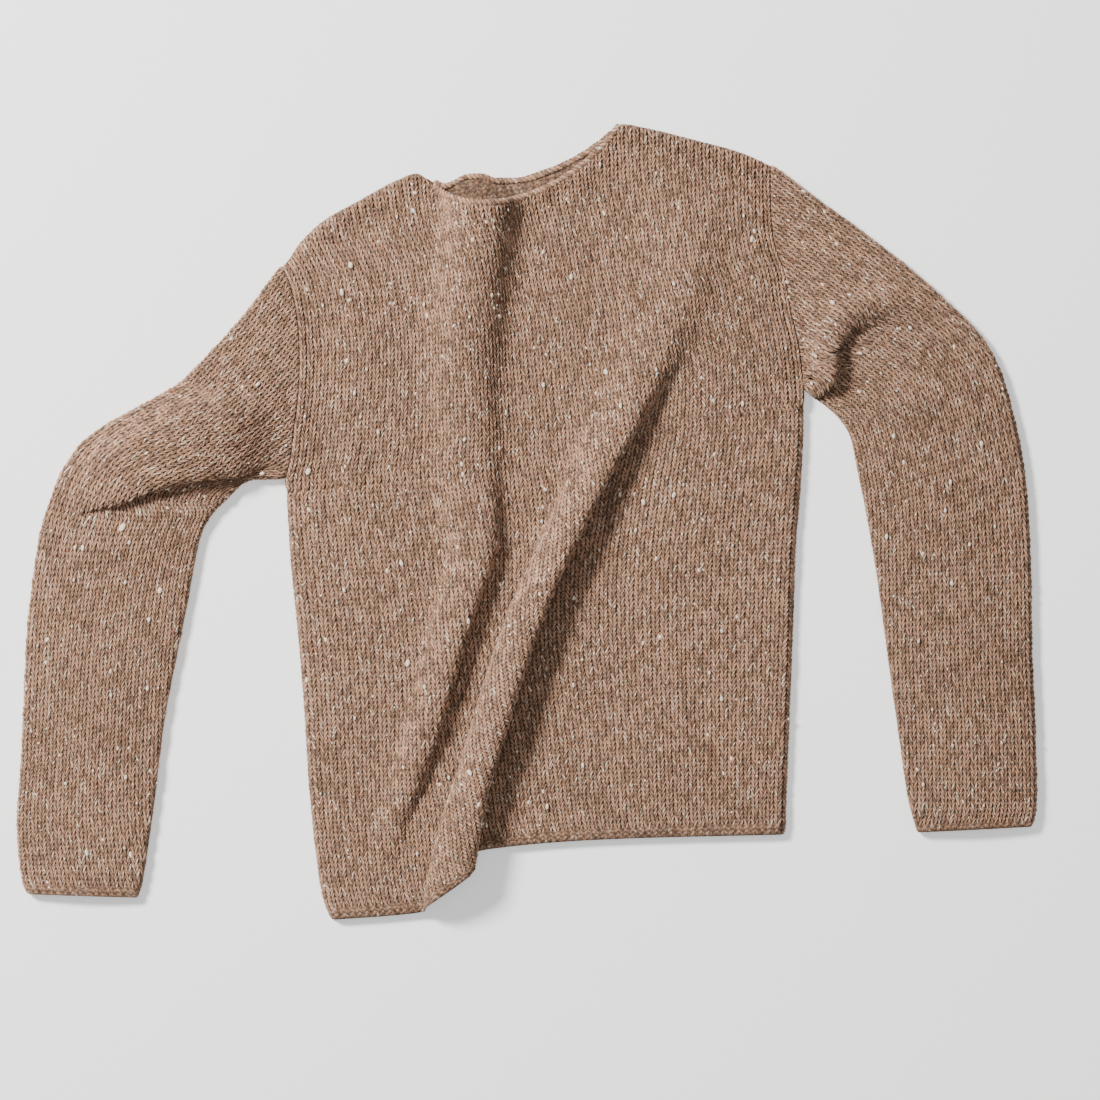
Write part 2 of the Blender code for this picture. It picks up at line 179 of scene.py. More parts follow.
# How far a course has climbed over its left end where it comes to the roll and leaves it.
CLIMB = Table("level at_roll past_roll", (
    (0, 6, 59),
    (120, 9, 55),
    (240, 16, 52),
    (366, 28, 49),
    (430, 36, 54),
    (500, 46, 62),
    (560, 50, 66),
    (640, 52, 66),
))
FRONT_CLIMB_SHIFT = (15, 0)  # the climb's two places, past the roll's feet
BACK_CLIMB_SHIFT = (-20, -6)
LATE_PLACE, LATE_SHARE = 0.45, 0.72  # of what is left past the roll: how far on, and how much climbed

TOP_EDGE = Table("x front_y back_y", (
    (-230, 190.0, 190.0),
    (-206.6, 216.7, 216.7),
    (-190.7, 236.9, 236.9),
    (-172.2, 253.7, 253.7),
    (-142.8, 270.5, 270.5),
    (-110.0, 288.0, 288.0),
    (-92.0, 294.0, 294.0),
    (-82.0, 288.0, 289.5),
    (-70.0, 277.0, 283.0),
    (-50.0, 268.8, 291.0),
    (-38.0, 267.8, 291.5),
    (-25.0, 268.2, 287.5),
    (-9.0, 272.2, 288.0),
    (20.0, 284.0, 296.5),
    (47.0, 302.0, 310.0),
    (70.0, 325.0, 327.0),
    (79.0, 335.5, 335.5),
    (95.0, 333.0, 333.0),
    (145.0, 321.0, 321.0),
    (179.0, 311.6, 311.6),
    (204.1, 300.5, 300.5),
    (230.0, 287.0, 287.0),
))
NECK_LEFT = -86.0
NECK_RIGHT = 73.0
EDGING_RADIUS = 2.8
EDGING_GAP = -2.3

WRAP_REACH = 6.0  # the front's edge rolls down round the back's over this width
WRAP_DROP = 6.4
BACK_INSET = WALL + 1.8  # how far the back's edge lies inside the front's
STRAIGHT_EDGE = 10.0

ROUND_HEM = 3.2  # how far in from a loose edge the wall is rounded
ROUND_SEAM = 1.6  # and from a sewn one
BLUNT_SEAM = 0.45  # how much thicker the wall is at a sewn edge, as a share of its half
THIN_EDGE = 0.1  # what is left of the wall's half at a loose edge
THIN_INSIDE = 0.12

# Sleeves, as rings from the armhole to the cuff, each from the outer edge to the inner one.
RINGS = "outer_x outer_y inner_x inner_y bow"
LEFT_RINGS = Table(RINGS, (
    (-178.0, 254.0, -88.0, 157.0, 0),
    (-206.6, 216.7, -115.0, 120.0, 0),
    (-240.0, 172.5, -146.0, 80.0, 0),
    (-268.0, 141.5, -172.0, 53.0, 0),
    (-294.0, 116.0, -198.0, 36.0, -2),
    (-322.0, 99.5, -226.0, 35.5, -6),
    (-349.0, 85.5, -235.5, 33.0, -9),
    (-373.0, 68.0, -242.0, 28.0, -10),
    (-390.0, 45.0, -250.5, 19.5, -9),
    (-400.5, 20.0, -261.5, 8.5, -8),
    (-409.0, -8.0, -270.5, -6.5, -7),
    (-415.5, -49.0, -277.0, -31.5, -5),
    (-420.0, -90.0, -283.0, -66.0, -2),
    (-422.5, -141.0, -292.0, -110.0, 0),
    (-425.0, -200.0, -303.0, -168.5, 0),
    (-428.5, -254.0, -311.5, -237.5, 0),
    (-424.0, -301.0, -321.5, -304.0, 0),
    (-419.5, -312.0, -325.0, -315.0, 0),
))
RIGHT_RINGS = Table(RINGS, (
    (176.0, 322.0, 88.0, 213.0, 0),
    (204.1, 301.6, 115.0, 193.0, 0),
    (247.0, 269.5, 158.0, 161.0, 0),
    (289.5, 238.5, 199.0, 132.0, 2),
    (327.5, 208.5, 229.0, 111.5, 5),
    (355.0, 183.0, 252.5, 93.5, 8),
    (376.0, 163.0, 261.0, 85.5, 9),
    (395.5, 133.0, 270.5, 69.0, 6),
    (408.0, 94.0, 276.5, 39.5, 3),
    (419.0, 35.0, 284.0, 2.0, 0),
    (423.5, -40.0, 292.5, -49.0, 0),
    (424.5, -107.5, 301.5, -116.0, 0),
    (427.5, -183.0, 311.0, -183.0, 0),
    (428.5, -233.5, 318.5, -233.5, 0),
    (424.5, -255.5, 326.0, -260.5, 0),
))

# Creases with a lip of cloth over them: where they run, from how far before them the cloth rises
# and how high it comes. The lip is on the left of the line as it runs.
LIP = "x y reach height"
LEFT_LIP = Table(LIP, (
    (-380, 0, 40, 0),
    (-360, 10, 46, 5),
    (-340, 19, 54, 10),
    (-318, 29, 62, 14),
    (-298, 36, 70, 17),
    (-278, 41, 74, 18),
    (-256, 43, 72, 15),
    (-235, 43, 64, 10),
    (-215, 42, 58, 5),
))
RIGHT_LIP = Table(LIP, (
    (236, 103, 12, 5),
    (247, 106, 17, 9),
    (255, 112, 22, 13),
    (258.5, 123, 25, 17),
    (259, 136, 26, 17),
    (262, 148, 27, 11),
    (271, 157, 27, 6),
    (286, 163, 26, 3),
    (304, 166, 26, 0),
))
# The lip's section: how far round it is, how far along its reach and how high it comes.
LIP_SECTION = Table("turn along rise", (
    (0.0, 0.0, 0.0),
    (0.12, 0.13, 0.4),
    (0.24, 0.27, 0.82),
    (0.38, 0.45, 1.0),
    (0.64, 0.8, 0.97),
    (0.79, 1.01, 0.82),
    (0.865, 1.08, 0.58),
    (0.915, 1.0, 0.24),
    (0.955, 0.9, 0.05),
    (1.0, 1.0, 0.0),
))
LIP_FULL = 9.0  # the height from which a lip hangs over in full

# Soft ridges and troughs: where they run, how high and how wide they are.
RIPPLE = "x y height width"
RIGHT_ARC = Table(RIPPLE, (
    (238, 156, 0, 11),
    (254, 170, 5, 12),
    (275, 179, 7, 13),
    (298, 184, 6, 15),
    (322, 181, 3, 17),
    (348, 170, 0, 18),
))
LEFT_ELBOW = Table(RIPPLE, (
    (-388, -30, 0, 14), (-365, -22, 2.5, 15), (-335, -20, 2.5, 16), (-300, -34, 0, 16),
))
RIGHT_ELBOW = Table(RIPPLE, (
    (392, 70, 0, 14), (365, 96, 3, 16), (330, 100, 3.5, 18), (296, 84, 0, 16),
))
UNDERARM_DIP = Table(RIPPLE, (
    (-172, 70, 0, 8), (-168, 54, -1.6, 9), (-164, 34, -1.8, 10), (-168, 10, 0, 9),
))
UNDERARM_RIDGE = Table(RIPPLE, (
    (-152, 84, 0, 9), (-148, 55, 2.4, 10), (-146, 30, 2.6, 10), (-150, -2, 0, 9),
))
HEM_SWELL = Table(RIPPLE, (
    (96, -262, 0, 22), (104, -220, 2.2, 26), (112, -170, 1.8, 28), (124, -110, 0, 28),
))
CHEST_SWELL = Table(RIPPLE, (
    (150, 250, 0, 22), (142, 205, 2.4, 26), (150, 150, 2.0, 26), (166, 96, 0, 24),
))
SHOULDER_SWELL = Table(RIPPLE, (
    (-176, 214, 0, 16), (-150, 196, 2.4, 18), (-136, 160, 2.0, 20), (-132, 118, 0, 20),
))
FRONT_RIPPLES = (UNDERARM_DIP, UNDERARM_RIDGE, HEM_SWELL, CHEST_SWELL, SHOULDER_SWELL)
PUFF = 3.0  # how much higher a sleeve stands along its middle


# The most prominent lumps of undyed wool: x, y and length.
PLACED_NEPS = {
    "front": (
        (-95, 260, 6.6), (-155, 191, 6.8), (-148, 186, 4.6), (-148, 214, 4.4), (-102, 178, 4.2),
        (-52, 249, 5.0), (-45, 235, 4.6), (61, 300, 4.6), (64, 259, 5.2), (83, 239, 4.4),
        (189, 237, 5.8), (181, 257, 4.0), (-18, 92, 5.6), (3, 88, 5.0), (14, 115, 4.2),
        (58, 108, 4.0), (108, 128, 5.0), (156, 103, 5.0), (167, 30, 5.2), (148, 2, 4.4),
        (145, -40, 4.6), (108, -30, 4.2), (-98, -8, 4.6), (-105, -35, 4.6), (-49, -83, 5.4),
        (-23, -52, 4.6), (41, 30, 4.2), (90, 24, 4.2), (-168, -98, 4.4), (-100, -118, 5.2),
        (-47, -209, 5.0), (-145, -231, 5.0), (39, -136, 4.4), (47, -204, 4.2), (14, -226, 4.0),
        (-184, 42, 5.2), (-182, 10, 5.6),
    ),
    "left_sleeve": (
        (-238, 113, 5.4), (-225, 115, 4.4), (-338, -4, 6.2), (-333, -17, 4.6), (-379, -21, 4.8),
        (-404, -295, 5.4), (-326, -236, 5.0), (-332, -279, 6.0),
    ),
    "right_sleeve": (
        (239, 246, 4.6), (270, 190, 4.4), (239, 141, 4.8), (320, 162, 4.4), (358, 147, 5.4),
        (259, 233, 4.0), (248, 199, 4.2), (376, -185, 6.4),
    ),
}


def ease(t: Any) -> Any:
    """0 to 1, with no kink at either end."""
    t = np.clip(t, 0.0, 1.0)
    return t * t * (3 - 2 * t)


def rounded(off: Any, width: Any) -> Any:
    """0 at an edge and 1 from width off it, along a quarter of a circle."""
    return np.sqrt(np.clip(1 - (1 - np.clip(off / width, 0, 1)) ** 2, 0, 1))


def wave(u: Any, width: Any, height: Any, upright: Any, lean: Any) -> tuple[Any, Any]:
    """One fold of cloth.

    Args:
        u: where on the fold, from its left foot (0) to its right one (1).
        width: how far apart its feet stand.
        height: how high its crest stands.
        upright: how steep its flanks are; 1 is vertical.
        lean: how far its crest leans to the right.

    Returns:
        How far along and how high the cloth is.
    """
    along = width * (u + upright * np.sin(4 * math.pi * u) / (4 * math.pi))
    rise = np.sin(math.pi * u) ** (2 + 0.7 * upright)
    return along + lean * rise, height * rise * (1 + 0.8 * upright * (u - 0.5))


def run_along(points: Array) -> Array:
    """How far along a line each of its points is."""
    return np.concatenate([[0.0], np.cumsum(np.linalg.norm(np.diff(points, axis=0), axis=1))])


def even(points: Array, run: Array, count: int) -> Array:
    """Points at equal steps of a run along a line.

    Args:
        points: the line's points.
        run: how far along the line each of them is.
        count: how many points to give.

    Returns:
        The new points, the line's ends among them.
    """
    marks = np.linspace(0.0, run[-1], count)
    return np.stack([np.interp(marks, run, points[:, k]) for k in range(points.shape[1])], axis=1)


def nearest(line: Array, place: Array) -> tuple[Array, Array]:
    """The nearest place on a line.

    Args:
        line: the line's points, in plan.
        place: points, in plan.

    Returns:
        Where on the line, as a fractional number of its points, and how far from it, on its left.
    """
    least = np.full(len(place), np.inf)
    at, off = np.zeros(len(place)), np.zeros(len(place))
    for k, (a, b) in enumerate(zip(line[:-1], line[1:])):
        way = b - a
        share = np.clip((place - a) @ way / (way @ way), 0, 1)
        gap = place - (a + share[:, None] * way)
        far = np.hypot(gap[:, 0], gap[:, 1])
        left = way[0] * gap[:, 1] - way[1] * gap[:, 0]
        better = far < least
        least = np.where(better, far, least)
        at = np.where(better, k + share, at)
        off = np.where(better, np.where(left < 0, -far, far), off)
    return at, off


def ripple(table: Table, place: Array) -> Array:
    """Heights of a soft ridge at points in plan."""
    at, off = nearest(table.line(), place)
    return table.along("height", at) * np.exp(-((off / table.along("width", at)) ** 2))


def make_object(
    shape: bmesh.types.BMesh, name: str, finish: bpy.types.Material, soft: bool
) -> bpy.types.Object:
    """Turns a finished shape into an object of the scene.

    Args:
        shape: the shape, which is freed.
        name: the object's name.
        finish: its material.
        soft: whether it is shaded smooth.

    Returns:
        The object.
    """
    mesh = bpy.data.meshes.new(name)
    shape.to_mesh(mesh)
    shape.free()
    if soft:
        mesh.shade_smooth()
    mesh.materials.append(finish)
    made = bpy.data.objects.new(name, mesh)
    bpy.context.scene.collection.objects.link(made)
    return made


class Side(Enum):
    """A side of the sweater, as seen in the picture."""

    LEFT = "left"
    RIGHT = "right"

    @property
    def sign(self) -> int:
        """-1 on the left and 1 on the right."""
        return -1 if self is Side.LEFT else 1


class Layer(Enum):
    """Which of the body's two layers a panel is."""

    FRONT = "front"
    BACK = "back"


def past_armhole(side: Side, place: Array) -> Array:
    """How far points, in plan, are from the body's side edge; more than 0 outside of it."""
    hem_y = LEFT_HEM_Y if side is Side.LEFT else RIGHT_HEM_Y
    edge = BODY_EDGES.read(side.value, place[..., 1] - hem_y)
    return (place[..., 0] - edge) * side.sign - SEAM_GAP / 2


@dataclass(frozen=True)
class ClothMap:
    """The middle of a piece of cloth, as rows and columns of points, and which way it faces."""

    points: Array
    normals: Array

    @classmethod
    def through(cls, points: Array, flip: bool = False) -> "ClothMap":
        """A map through rows and columns of points.

        Args:
            points: rows, columns and coordinates.
            flip: whether the knit side is the other one.

        Returns:
            The map, with its normals on the knit side.
        """
        across, onward = np.gradient(points, axis=1), np.gradient(points, axis=0)
        normals = np.cross(across, onward) * (-1 if flip else 1)
        normals /= np.maximum(np.linalg.norm(normals, axis=2), 1e-9)[..., None]
        return cls(points, normals)

    def at(self, row: Array, column: Array) -> tuple[Array, Array]:
        """The cloth's place and normal between the map's points.

        Args:
            row: rows, with their fractions.
            column: columns, with their fractions, in the same shape.

        Returns:
            Places and normals.
        """
        rows, columns = self.points.shape[:2]
        i = np.clip(np.floor(row).astype(int), 0, rows - 2)
        j = np.clip(np.floor(column).astype(int), 0, columns - 2)
        s, t = np.clip(row - i, 0, 1)[..., None], np.clip(column - j, 0, 1)[..., None]
        found = []
        for grid in (self.points, self.normals):
            low = grid[i, j] * (1 - t) + grid[i, j + 1] * t
            high = grid[i + 1, j] * (1 - t) + grid[i + 1, j + 1] * t
            found.append(low * (1 - s) + high * s)
        normal = found[1] / np.maximum(np.linalg.norm(found[1], axis=-1), 1e-9)[..., None]
        return found[0], normal


@dataclass(frozen=True)
class Gauge:
    """The size of a stitch and the shape of its relief."""

    wale: float  # width of a stitch
    course: float  # height of a stitch
    slant: float = 1.55  # how many courses a leg climbs over half a wale
    crest: float = 1.15  # a leg's height over the gap between two wales
    strand: float = 0.8  # a leg's height over the next leg of its wale
    uneven: float = 0.45  # how much one stitch stands higher than another
    border: float = 2.1  # how many courses of bound border there are at the hem
    stray: float = 0.16  # how far a wale strays sideways, for each of four waves
    seed: int = 7

    def across(self, wales: Array) -> Array:
        """0 in the middle of a wale and 1 in the gap between two."""
        return np.abs((wales % 1.0) - 0.5) * 2

    def relief(self, wales: Array, courses: Array) -> Array:
        """How far the yarn stands out.

        Args:
            wales: places across the cloth, in stitches.
            courses: places up the cloth, in stitches.

        Returns:
            Heights over the yarn's middle, in millimetres.
        """
        bound = 1 - ease((courses - self.border + 0.5) / 0.8)
        rib = 0.5 * np.cos(TURN * (courses + 0.2 * np.cos(TURN * wales)))
        c = self.across(wales)
        ridge = np.cos(TURN * (c - 0.5))
        along = courses - self.slant * (c - 0.5)
        leg = -np.cos(TURN * along) * (0.45 + 0.55 * np.sin(math.pi * np.clip(c, 0, 1)))
        random = np.random.default_rng(self.seed).uniform(-1, 1, (256, 256))
        lift = random[(np.floor(wales * 2).astype(int)) % 256, (np.floor(along).astype(int)) % 256]
        lift = lift * np.sin(math.pi * np.clip(c, 0, 1))
        knit = 0.5 * self.crest * ridge + 0.5 * self.strand * leg + self.uneven * lift
        return knit * (1 - bound) + (rib + 0.5 * self.uneven * lift) * bound

    def wander(self, wales: Array, courses: Array) -> Array:
        """How far a wale strays sideways, in millimetres."""
        rng = np.random.default_rng(self.seed + 1)
        total = np.zeros_like(wales)
        for size in (23.0, 11.0, 5.0, 2.7):
            a, b, p, q = rng.uniform(0.6, 1.4, 2).tolist() + rng.uniform(0, 6.28, 2).tolist()
            waves = self.stray * np.sin(wales / size * 6.28 * a + p)
            total += waves * np.sin(courses / size / 1.7 * 6.28 * b + q)
        return total


@dataclass(frozen=True)
class KnitFace:
    """One face of a cloth shell: its points, and each point's wale, course and share of knit."""

    points: Array
    stitch: Array
    flip: bool


class ShellMaker:
    """Turns the two faces of a piece of cloth into one closed mesh."""

    layer_name = "stitch"
    merge = 4e-6  # nearer points of a face are one, in metres

    def __init__(self, name: str) -> None:
        """Starts a shell called name."""
        self.name = name
        self.shape = bmesh.new()
        self.layer = self.shape.verts.layers.float_vector.new(self.layer_name)

    def add_face(self, face: KnitFace) -> None:
        """Adds a face as a grid whose coinciding points are merged."""
        rows, columns = face.points.shape[:2]
        made = bmesh.ops.create_grid(self.shape, x_segments=columns - 1, y_segments=rows - 1, size=1.0)
        order = sorted(made["verts"], key=lambda v: (round(v.co.y, 6), round(v.co.x, 6)))
        places = (face.points.reshape(-1, 3) * MM).tolist()
        stitches = face.stitch.reshape(-1, 3).tolist()
        for vertex, place, stitch in zip(order, places, stitches):
            vertex.co = place
            vertex[self.layer] = stitch
        if face.flip:
            bmesh.ops.reverse_faces(self.shape, faces=list({f for v in order for f in v.link_faces}))
        bmesh.ops.remove_doubles(self.shape, verts=order, dist=self.merge)

    def close(self, ends: int) -> None:
        """Joins the two faces along their open edges.

        Args:
            ends: 1 for a panel with one edge all round, 2 for a tube with two open ends.
        """
        rim = [e for e in self.shape.edges if e.is_boundary]
        half = 0.5 * max(v[self.layer][1] for e in rim for v in e.verts)
        for end in range(ends):
            loop = rim if ends == 1 else [e for e in rim if (e.verts[0][self.layer][1] > half) == bool(end)]
            bmesh.ops.bridge_loops(self.shape, edges=loop)

    def finish(self, material: bpy.types.Material) -> bpy.types.Object:
        """Makes the object, in the scene, and reports it.

        Args:
            material: the shell's finish.

        Returns:
            The object.
        """
        left = sum(1 for e in self.shape.edges if not e.is_manifold)
        loose = [v for v in self.shape.verts if not v.link_faces]
        bmesh.ops.delete(self.shape, geom=loose, context="VERTS")
        piece = make_object(self.shape, self.name, material, soft=True)
        count = sum(len(p.vertices) - 2 for p in piece.data.polygons)
        log.info("%s: %d triangles, %d open edges", self.name, count, left)
        return piece


@dataclass
class BodyPanel:
    """The front or the back of the body."""

    layer: Layer
    wales: int = 68
    gauge: Gauge = field(default_factory=lambda: Gauge(wale=7.3, course=4.1))
    step: float = 2.0  # between the rows of the map
    per_wale: int = 4  # columns of the map to a wale
    outside: float = 1.55  # how far the yarn's middle stands off the cloth's, on the knit side
    inside: float = 1.6  # how far the other side stands off it
    scallop: float = 0.7  # how far a wale's end hangs below the hem

    def __post_init__(self) -> None:
        """Works out the map of the cloth and where each wale ends."""
        self.front = self.layer is Layer.FRONT
        self.mid = HIGH_MID if self.front else LOW_MID
        self.edge_inset = WALL / 2 if self.front else BACK_INSET
        self.levels = np.arange(0, TOP_LEVEL + self.step, self.step)
        self.bare = np.array([self.course_line(level) for level in self.levels])
        self.tops, self.slants = self.top_levels()
        self.map = ClothMap.through(self.dropped(), flip=not self.front)

    def fold(self, table: Table, level: float) -> tuple[float, ...]:
        """A fold's start, width, height, upright and lean at a level."""
        start, width, height, upright, lean = (float(table.read(n, level)) for n in FOLD.split()[1:])
        if self.front:
            return start, width, height, upright, lean
        inset, share = BACK_FOLD_INSET, BACK_FOLD_HEIGHT
        return start + inset * width, width * (1 - 2 * inset), height * share, upright * share, lean * share

    def sewn(self, level: Any) -> Any:
        """1 where the side edge is sewn to a sleeve, 0 where it is a side seam."""
        return ease((level - UNDERARM) / STRAIGHT_EDGE + (1 if self.front else 0))

    def ends(self, level: Any) -> tuple[Any, Any]:
        """The two ends of a course, in plan."""
        inset = self.edge_inset + (SEAM_GAP / 2 - self.edge_inset) * self.sewn(level)
        return BODY_EDGES.read("left", level) + inset, BODY_EDGES.read("right", level) - inset

    def side_drop(self, x: Array, level: Any) -> Array:
        """How near a point is to a side edge that rolls down: 0 inside, 1 at the edge."""
        left, right = self.ends(level)
        side = np.minimum(x - left, right - x) + WRAP_REACH * self.sewn(level)
        return 1 - np.clip(side / WRAP_REACH, 0, 1)

    def section(self, level: float) -> tuple[Array, int, int]:
        """A course's section across the body, without its rolled edges.

        Args:
            level: the course's height over the hem.

        Returns:
            Its points, as places across and heights, and which of them are the roll's two feet.
        """
        left, right = (float(end) for end in self.ends(level))
        pleat, roll = self.fold(PLEAT, level), self.fold(ROLL, level)
        edge = WRAP_REACH * np.linspace(0, 1, 12)[:-1] ** 2
        u = np.linspace(0, 1, 90)
        x_pleat, z_pleat = wave(u, *pleat[1:])
        x_roll, z_roll = wave(u, *roll[1:])
        left_flat = np.linspace(left + WRAP_REACH, pleat[0], 30)[:-1]
        between = np.linspace(pleat[0] + pleat[1], roll[0], 12)[1:-1]
        right_flat = np.linspace(roll[0] + roll[1], right - WRAP_REACH, 30)[1:]
        raised = (pleat[0] + x_pleat, between, roll[0] + x_roll)
        xs = (left + edge, left_flat, *raised, right_flat, right - edge[::-1])
        zs = [np.zeros(len(part)) for part in xs]
        zs[2], zs[4] = z_pleat, z_roll
        first = sum(len(part) for part in xs[:4])
        return np.stack([np.concatenate(xs), np.concatenate(zs)], axis=1), first, first + len(u) - 1

    def course_line(self, level: float) -> Array:
        """A course's points, evenly spaced along the cloth, without its rolled edges."""
        points, first, last = self.section(level)
        run = run_along(points)
        shift = FRONT_CLIMB_SHIFT if self.front else BACK_CLIMB_SHIFT
        here, there = run[first] + shift[0], run[last] + shift[1]
        climb = [0.0, float(CLIMB.read("at_roll", level)), float(CLIMB.read("past_roll", level))]
        end = RIGHT_HEM_Y - LEFT_HEM_Y
        climb += [climb[-1] + LATE_SHARE * (end - climb[-1]), end]
        marks = np.array([0, here, there, there + LATE_PLACE * (run[-1] - there), run[-1]])
        y = LEFT_HEM_Y + level + smooth(run, marks, np.array(climb))
        near = self.side_drop(points[:, 0], level) if self.front else np.zeros(len(points))
        drop = WRAP_DROP * (1 - np.sqrt(1 - near**2))
        rolled = points - np.stack([np.zeros(len(y)), drop], axis=1)
        full = np.stack([points[:, 0], y, points[:, 1]], axis=1)
        return even(full, run_along(rolled), self.per_wale * self.wales + 1)

    def top_y(self, x: Any) -> Array:
        """The shoulder and neck edge."""
        return TOP_EDGE.read(f"{self.layer.value}_y", x)

    def is_shoulder(self, x: Any) -> Any:
        """1 along the shoulders and 0 along the neck."""
        start, length = (6, 16) if self.front else (-2, 8)
        return ease((NECK_LEFT - start - x) / length) + ease((x - NECK_RIGHT - start) / length)

    def top_levels(self) -> tuple[Array, Array]:
        """The level at which each column of the map ends, and how slanted the edge is there."""
        over = self.bare[..., 1] - self.top_y(self.bare[..., 0])
        above = np.argmax(over > 0, axis=0)
        j = np.arange(over.shape[1])
        t = over[above - 1, j] / (over[above - 1, j] - over[above, j])
        top = self.levels[above - 1] + t * self.step
        x = self.bare[above - 1, j, 0] * (1 - t) + self.bare[above, j, 0] * t
        slant = np.hypot(1, (self.top_y(x + 1) - self.top_y(x - 1)) / 2)
        inset = WALL / 2 + (0 if self.front else BACK_INSET - WALL / 2) * self.is_shoulder(x)
        return top - inset * slant, slant

    def dropped(self) -> Array:
        """The map's points, with the edges rolled down round the other layer."""
        level = self.levels[:, None] * np.ones(self.bare.shape[1])
        points = self.bare.copy()
        points[..., 2] += self.mid
        if self.front:
            plan = points[..., :2].reshape(-1, 2)
            for table in FRONT_RIPPLES:
                points[..., 2] += ripple(table, plan).reshape(points.shape[:2])
            x = points[..., 0]
            side = self.side_drop(x, level)
            below = (self.tops - level) / self.slants + WRAP_REACH * (1 - self.is_shoulder(x))
            near = np.maximum(side, 1 - np.clip(below / WRAP_REACH, 0, 1))
            points[..., 2] -= WRAP_DROP * (1 - np.sqrt(1 - near**2))
        return points

    def face(self, knit: bool, columns: int, rows: float) -> KnitFace:
        """One face of the panel.

        Args:
            knit: whether it is the knit side, with the relief of its stitches.
            columns: how many of the map's columns lie between two of the face's.
            rows: how many rows of points there are to a course.

        Returns:
            The face.
        """
        j = np.arange(0, self.per_wale * self.wales + 1, columns)
        wales = j / self.per_wale
        courses_max = self.tops[j] / self.gauge.course
        count = int(math.ceil(courses_max.max() * rows)) + 4
        index = np.arange(-2, count)[:, None]
        c = self.gauge.across(wales)
        shift = self.gauge.slant * (c - 0.5) if knit else 0.0
        courses = np.clip(index / rows + shift, 0, courses_max)
        wales = wales + 0 * courses
        level = courses * self.gauge.course
        place, normal = self.map.at(level / self.step, j + 0 * courses)
        side = np.minimum(wales, self.wales - wales) * self.gauge.wale
        top = (self.tops[j] - level) / self.slants[j]
        sewn = np.where(side < top, self.sewn(level), 1.0)
        edge = np.minimum(np.minimum(side, level), top)
        place = place + normal * self.offset(knit, wales, courses, edge, sewn)[..., None]
        place[..., 0] += self.gauge.wander(wales, courses) * ease(edge / 8.0)
        place[..., 1] -= self.scallop * np.cos(TURN * wales) * (1 - ease(level / 6.0))
        place[..., 2] = np.maximum(place[..., 2], LEAST_Z)
        mask = np.full_like(courses, 1.0 if knit else 0.0)
        return KnitFace(place, np.stack([wales, courses, mask], axis=2), flip=knit != self.front)

    def offset(self, knit: bool, wales: Array, courses: Array, edge: Array, sewn: Array) -> Array:
        """How far a face stands off the middle of the cloth.

        Args:
            knit: whether it is the knit side.
            wales: places across the cloth, in stitches.
            courses: places up the cloth, in stitches.
            edge: how far in from the cloth's edge they are.
            sewn: 1 where that edge is sewn, and so less rounded.

        Returns:
            Distances, in millimetres; less than 0 on the inside.
        """
        rounding = rounded(edge, ROUND_HEM - ROUND_SEAM * sewn)
        if not knit:
            return -self.inside * (THIN_INSIDE + (1 - THIN_INSIDE) * rounding)
        least = THIN_EDGE + BLUNT_SEAM * sewn
        beside_seam = 0.7 * sewn * (1 - ease((edge - 10) / 14.0))
        deep = (0.35 + 0.65 * ease(edge / 5.0)) * (1 + beside_seam)
        return (self.outside + self.gauge.relief(wales, courses) * deep) * (least + (1 - least) * rounding)

    def build(self, finish: bpy.types.Material) -> bpy.types.Object:
        """Makes the panel's shell."""
        maker = ShellMaker(f"{self.layer.value}_cloth")
        maker.add_face(self.face(True, 1, 2.0))
        maker.add_face(self.face(False, 4, 0.5))
        maker.close(ends=1)
        return maker.finish(finish)


@dataclass(frozen=True)
class Lip:
    """A crease across a sleeve, and the cloth that hangs over it."""

    table: Table
    root: float  # how far from the armhole it is full

    def lift(self, place: Array, fade: Array) -> tuple[Array, Array]:
        """Folds points of the sleeve's upper side.

        Args:
            place: the points, in plan.
            fade: how much of the fold each of them takes.

        Returns:
            Their new plan, and how far they are lifted.
        """
        line = self.table.line()
        at, off = nearest(line, place)
        reach, height = self.table.along("reach", at), self.table.along("height", at)
        turn = np.clip(1 - off / reach, 0, 1)
        turn = np.where(off < 0, 1.0, turn)
        along, rise = LIP_SECTION.read("along", turn), LIP_SECTION.read("rise", turn)
        way = np.stack([np.interp(at, np.arange(len(line)), np.gradient(line[:, k])) for k in (0, 1)], axis=1)
        way /= np.linalg.norm(way, axis=1)[:, None]
        over = np.stack([way[:, 1], -way[:, 0]], axis=1)
        full = fade * np.clip(height / LIP_FULL, 0, 1)
        return place + over * ((along - turn) * reach * full)[:, None], rise * height * fade


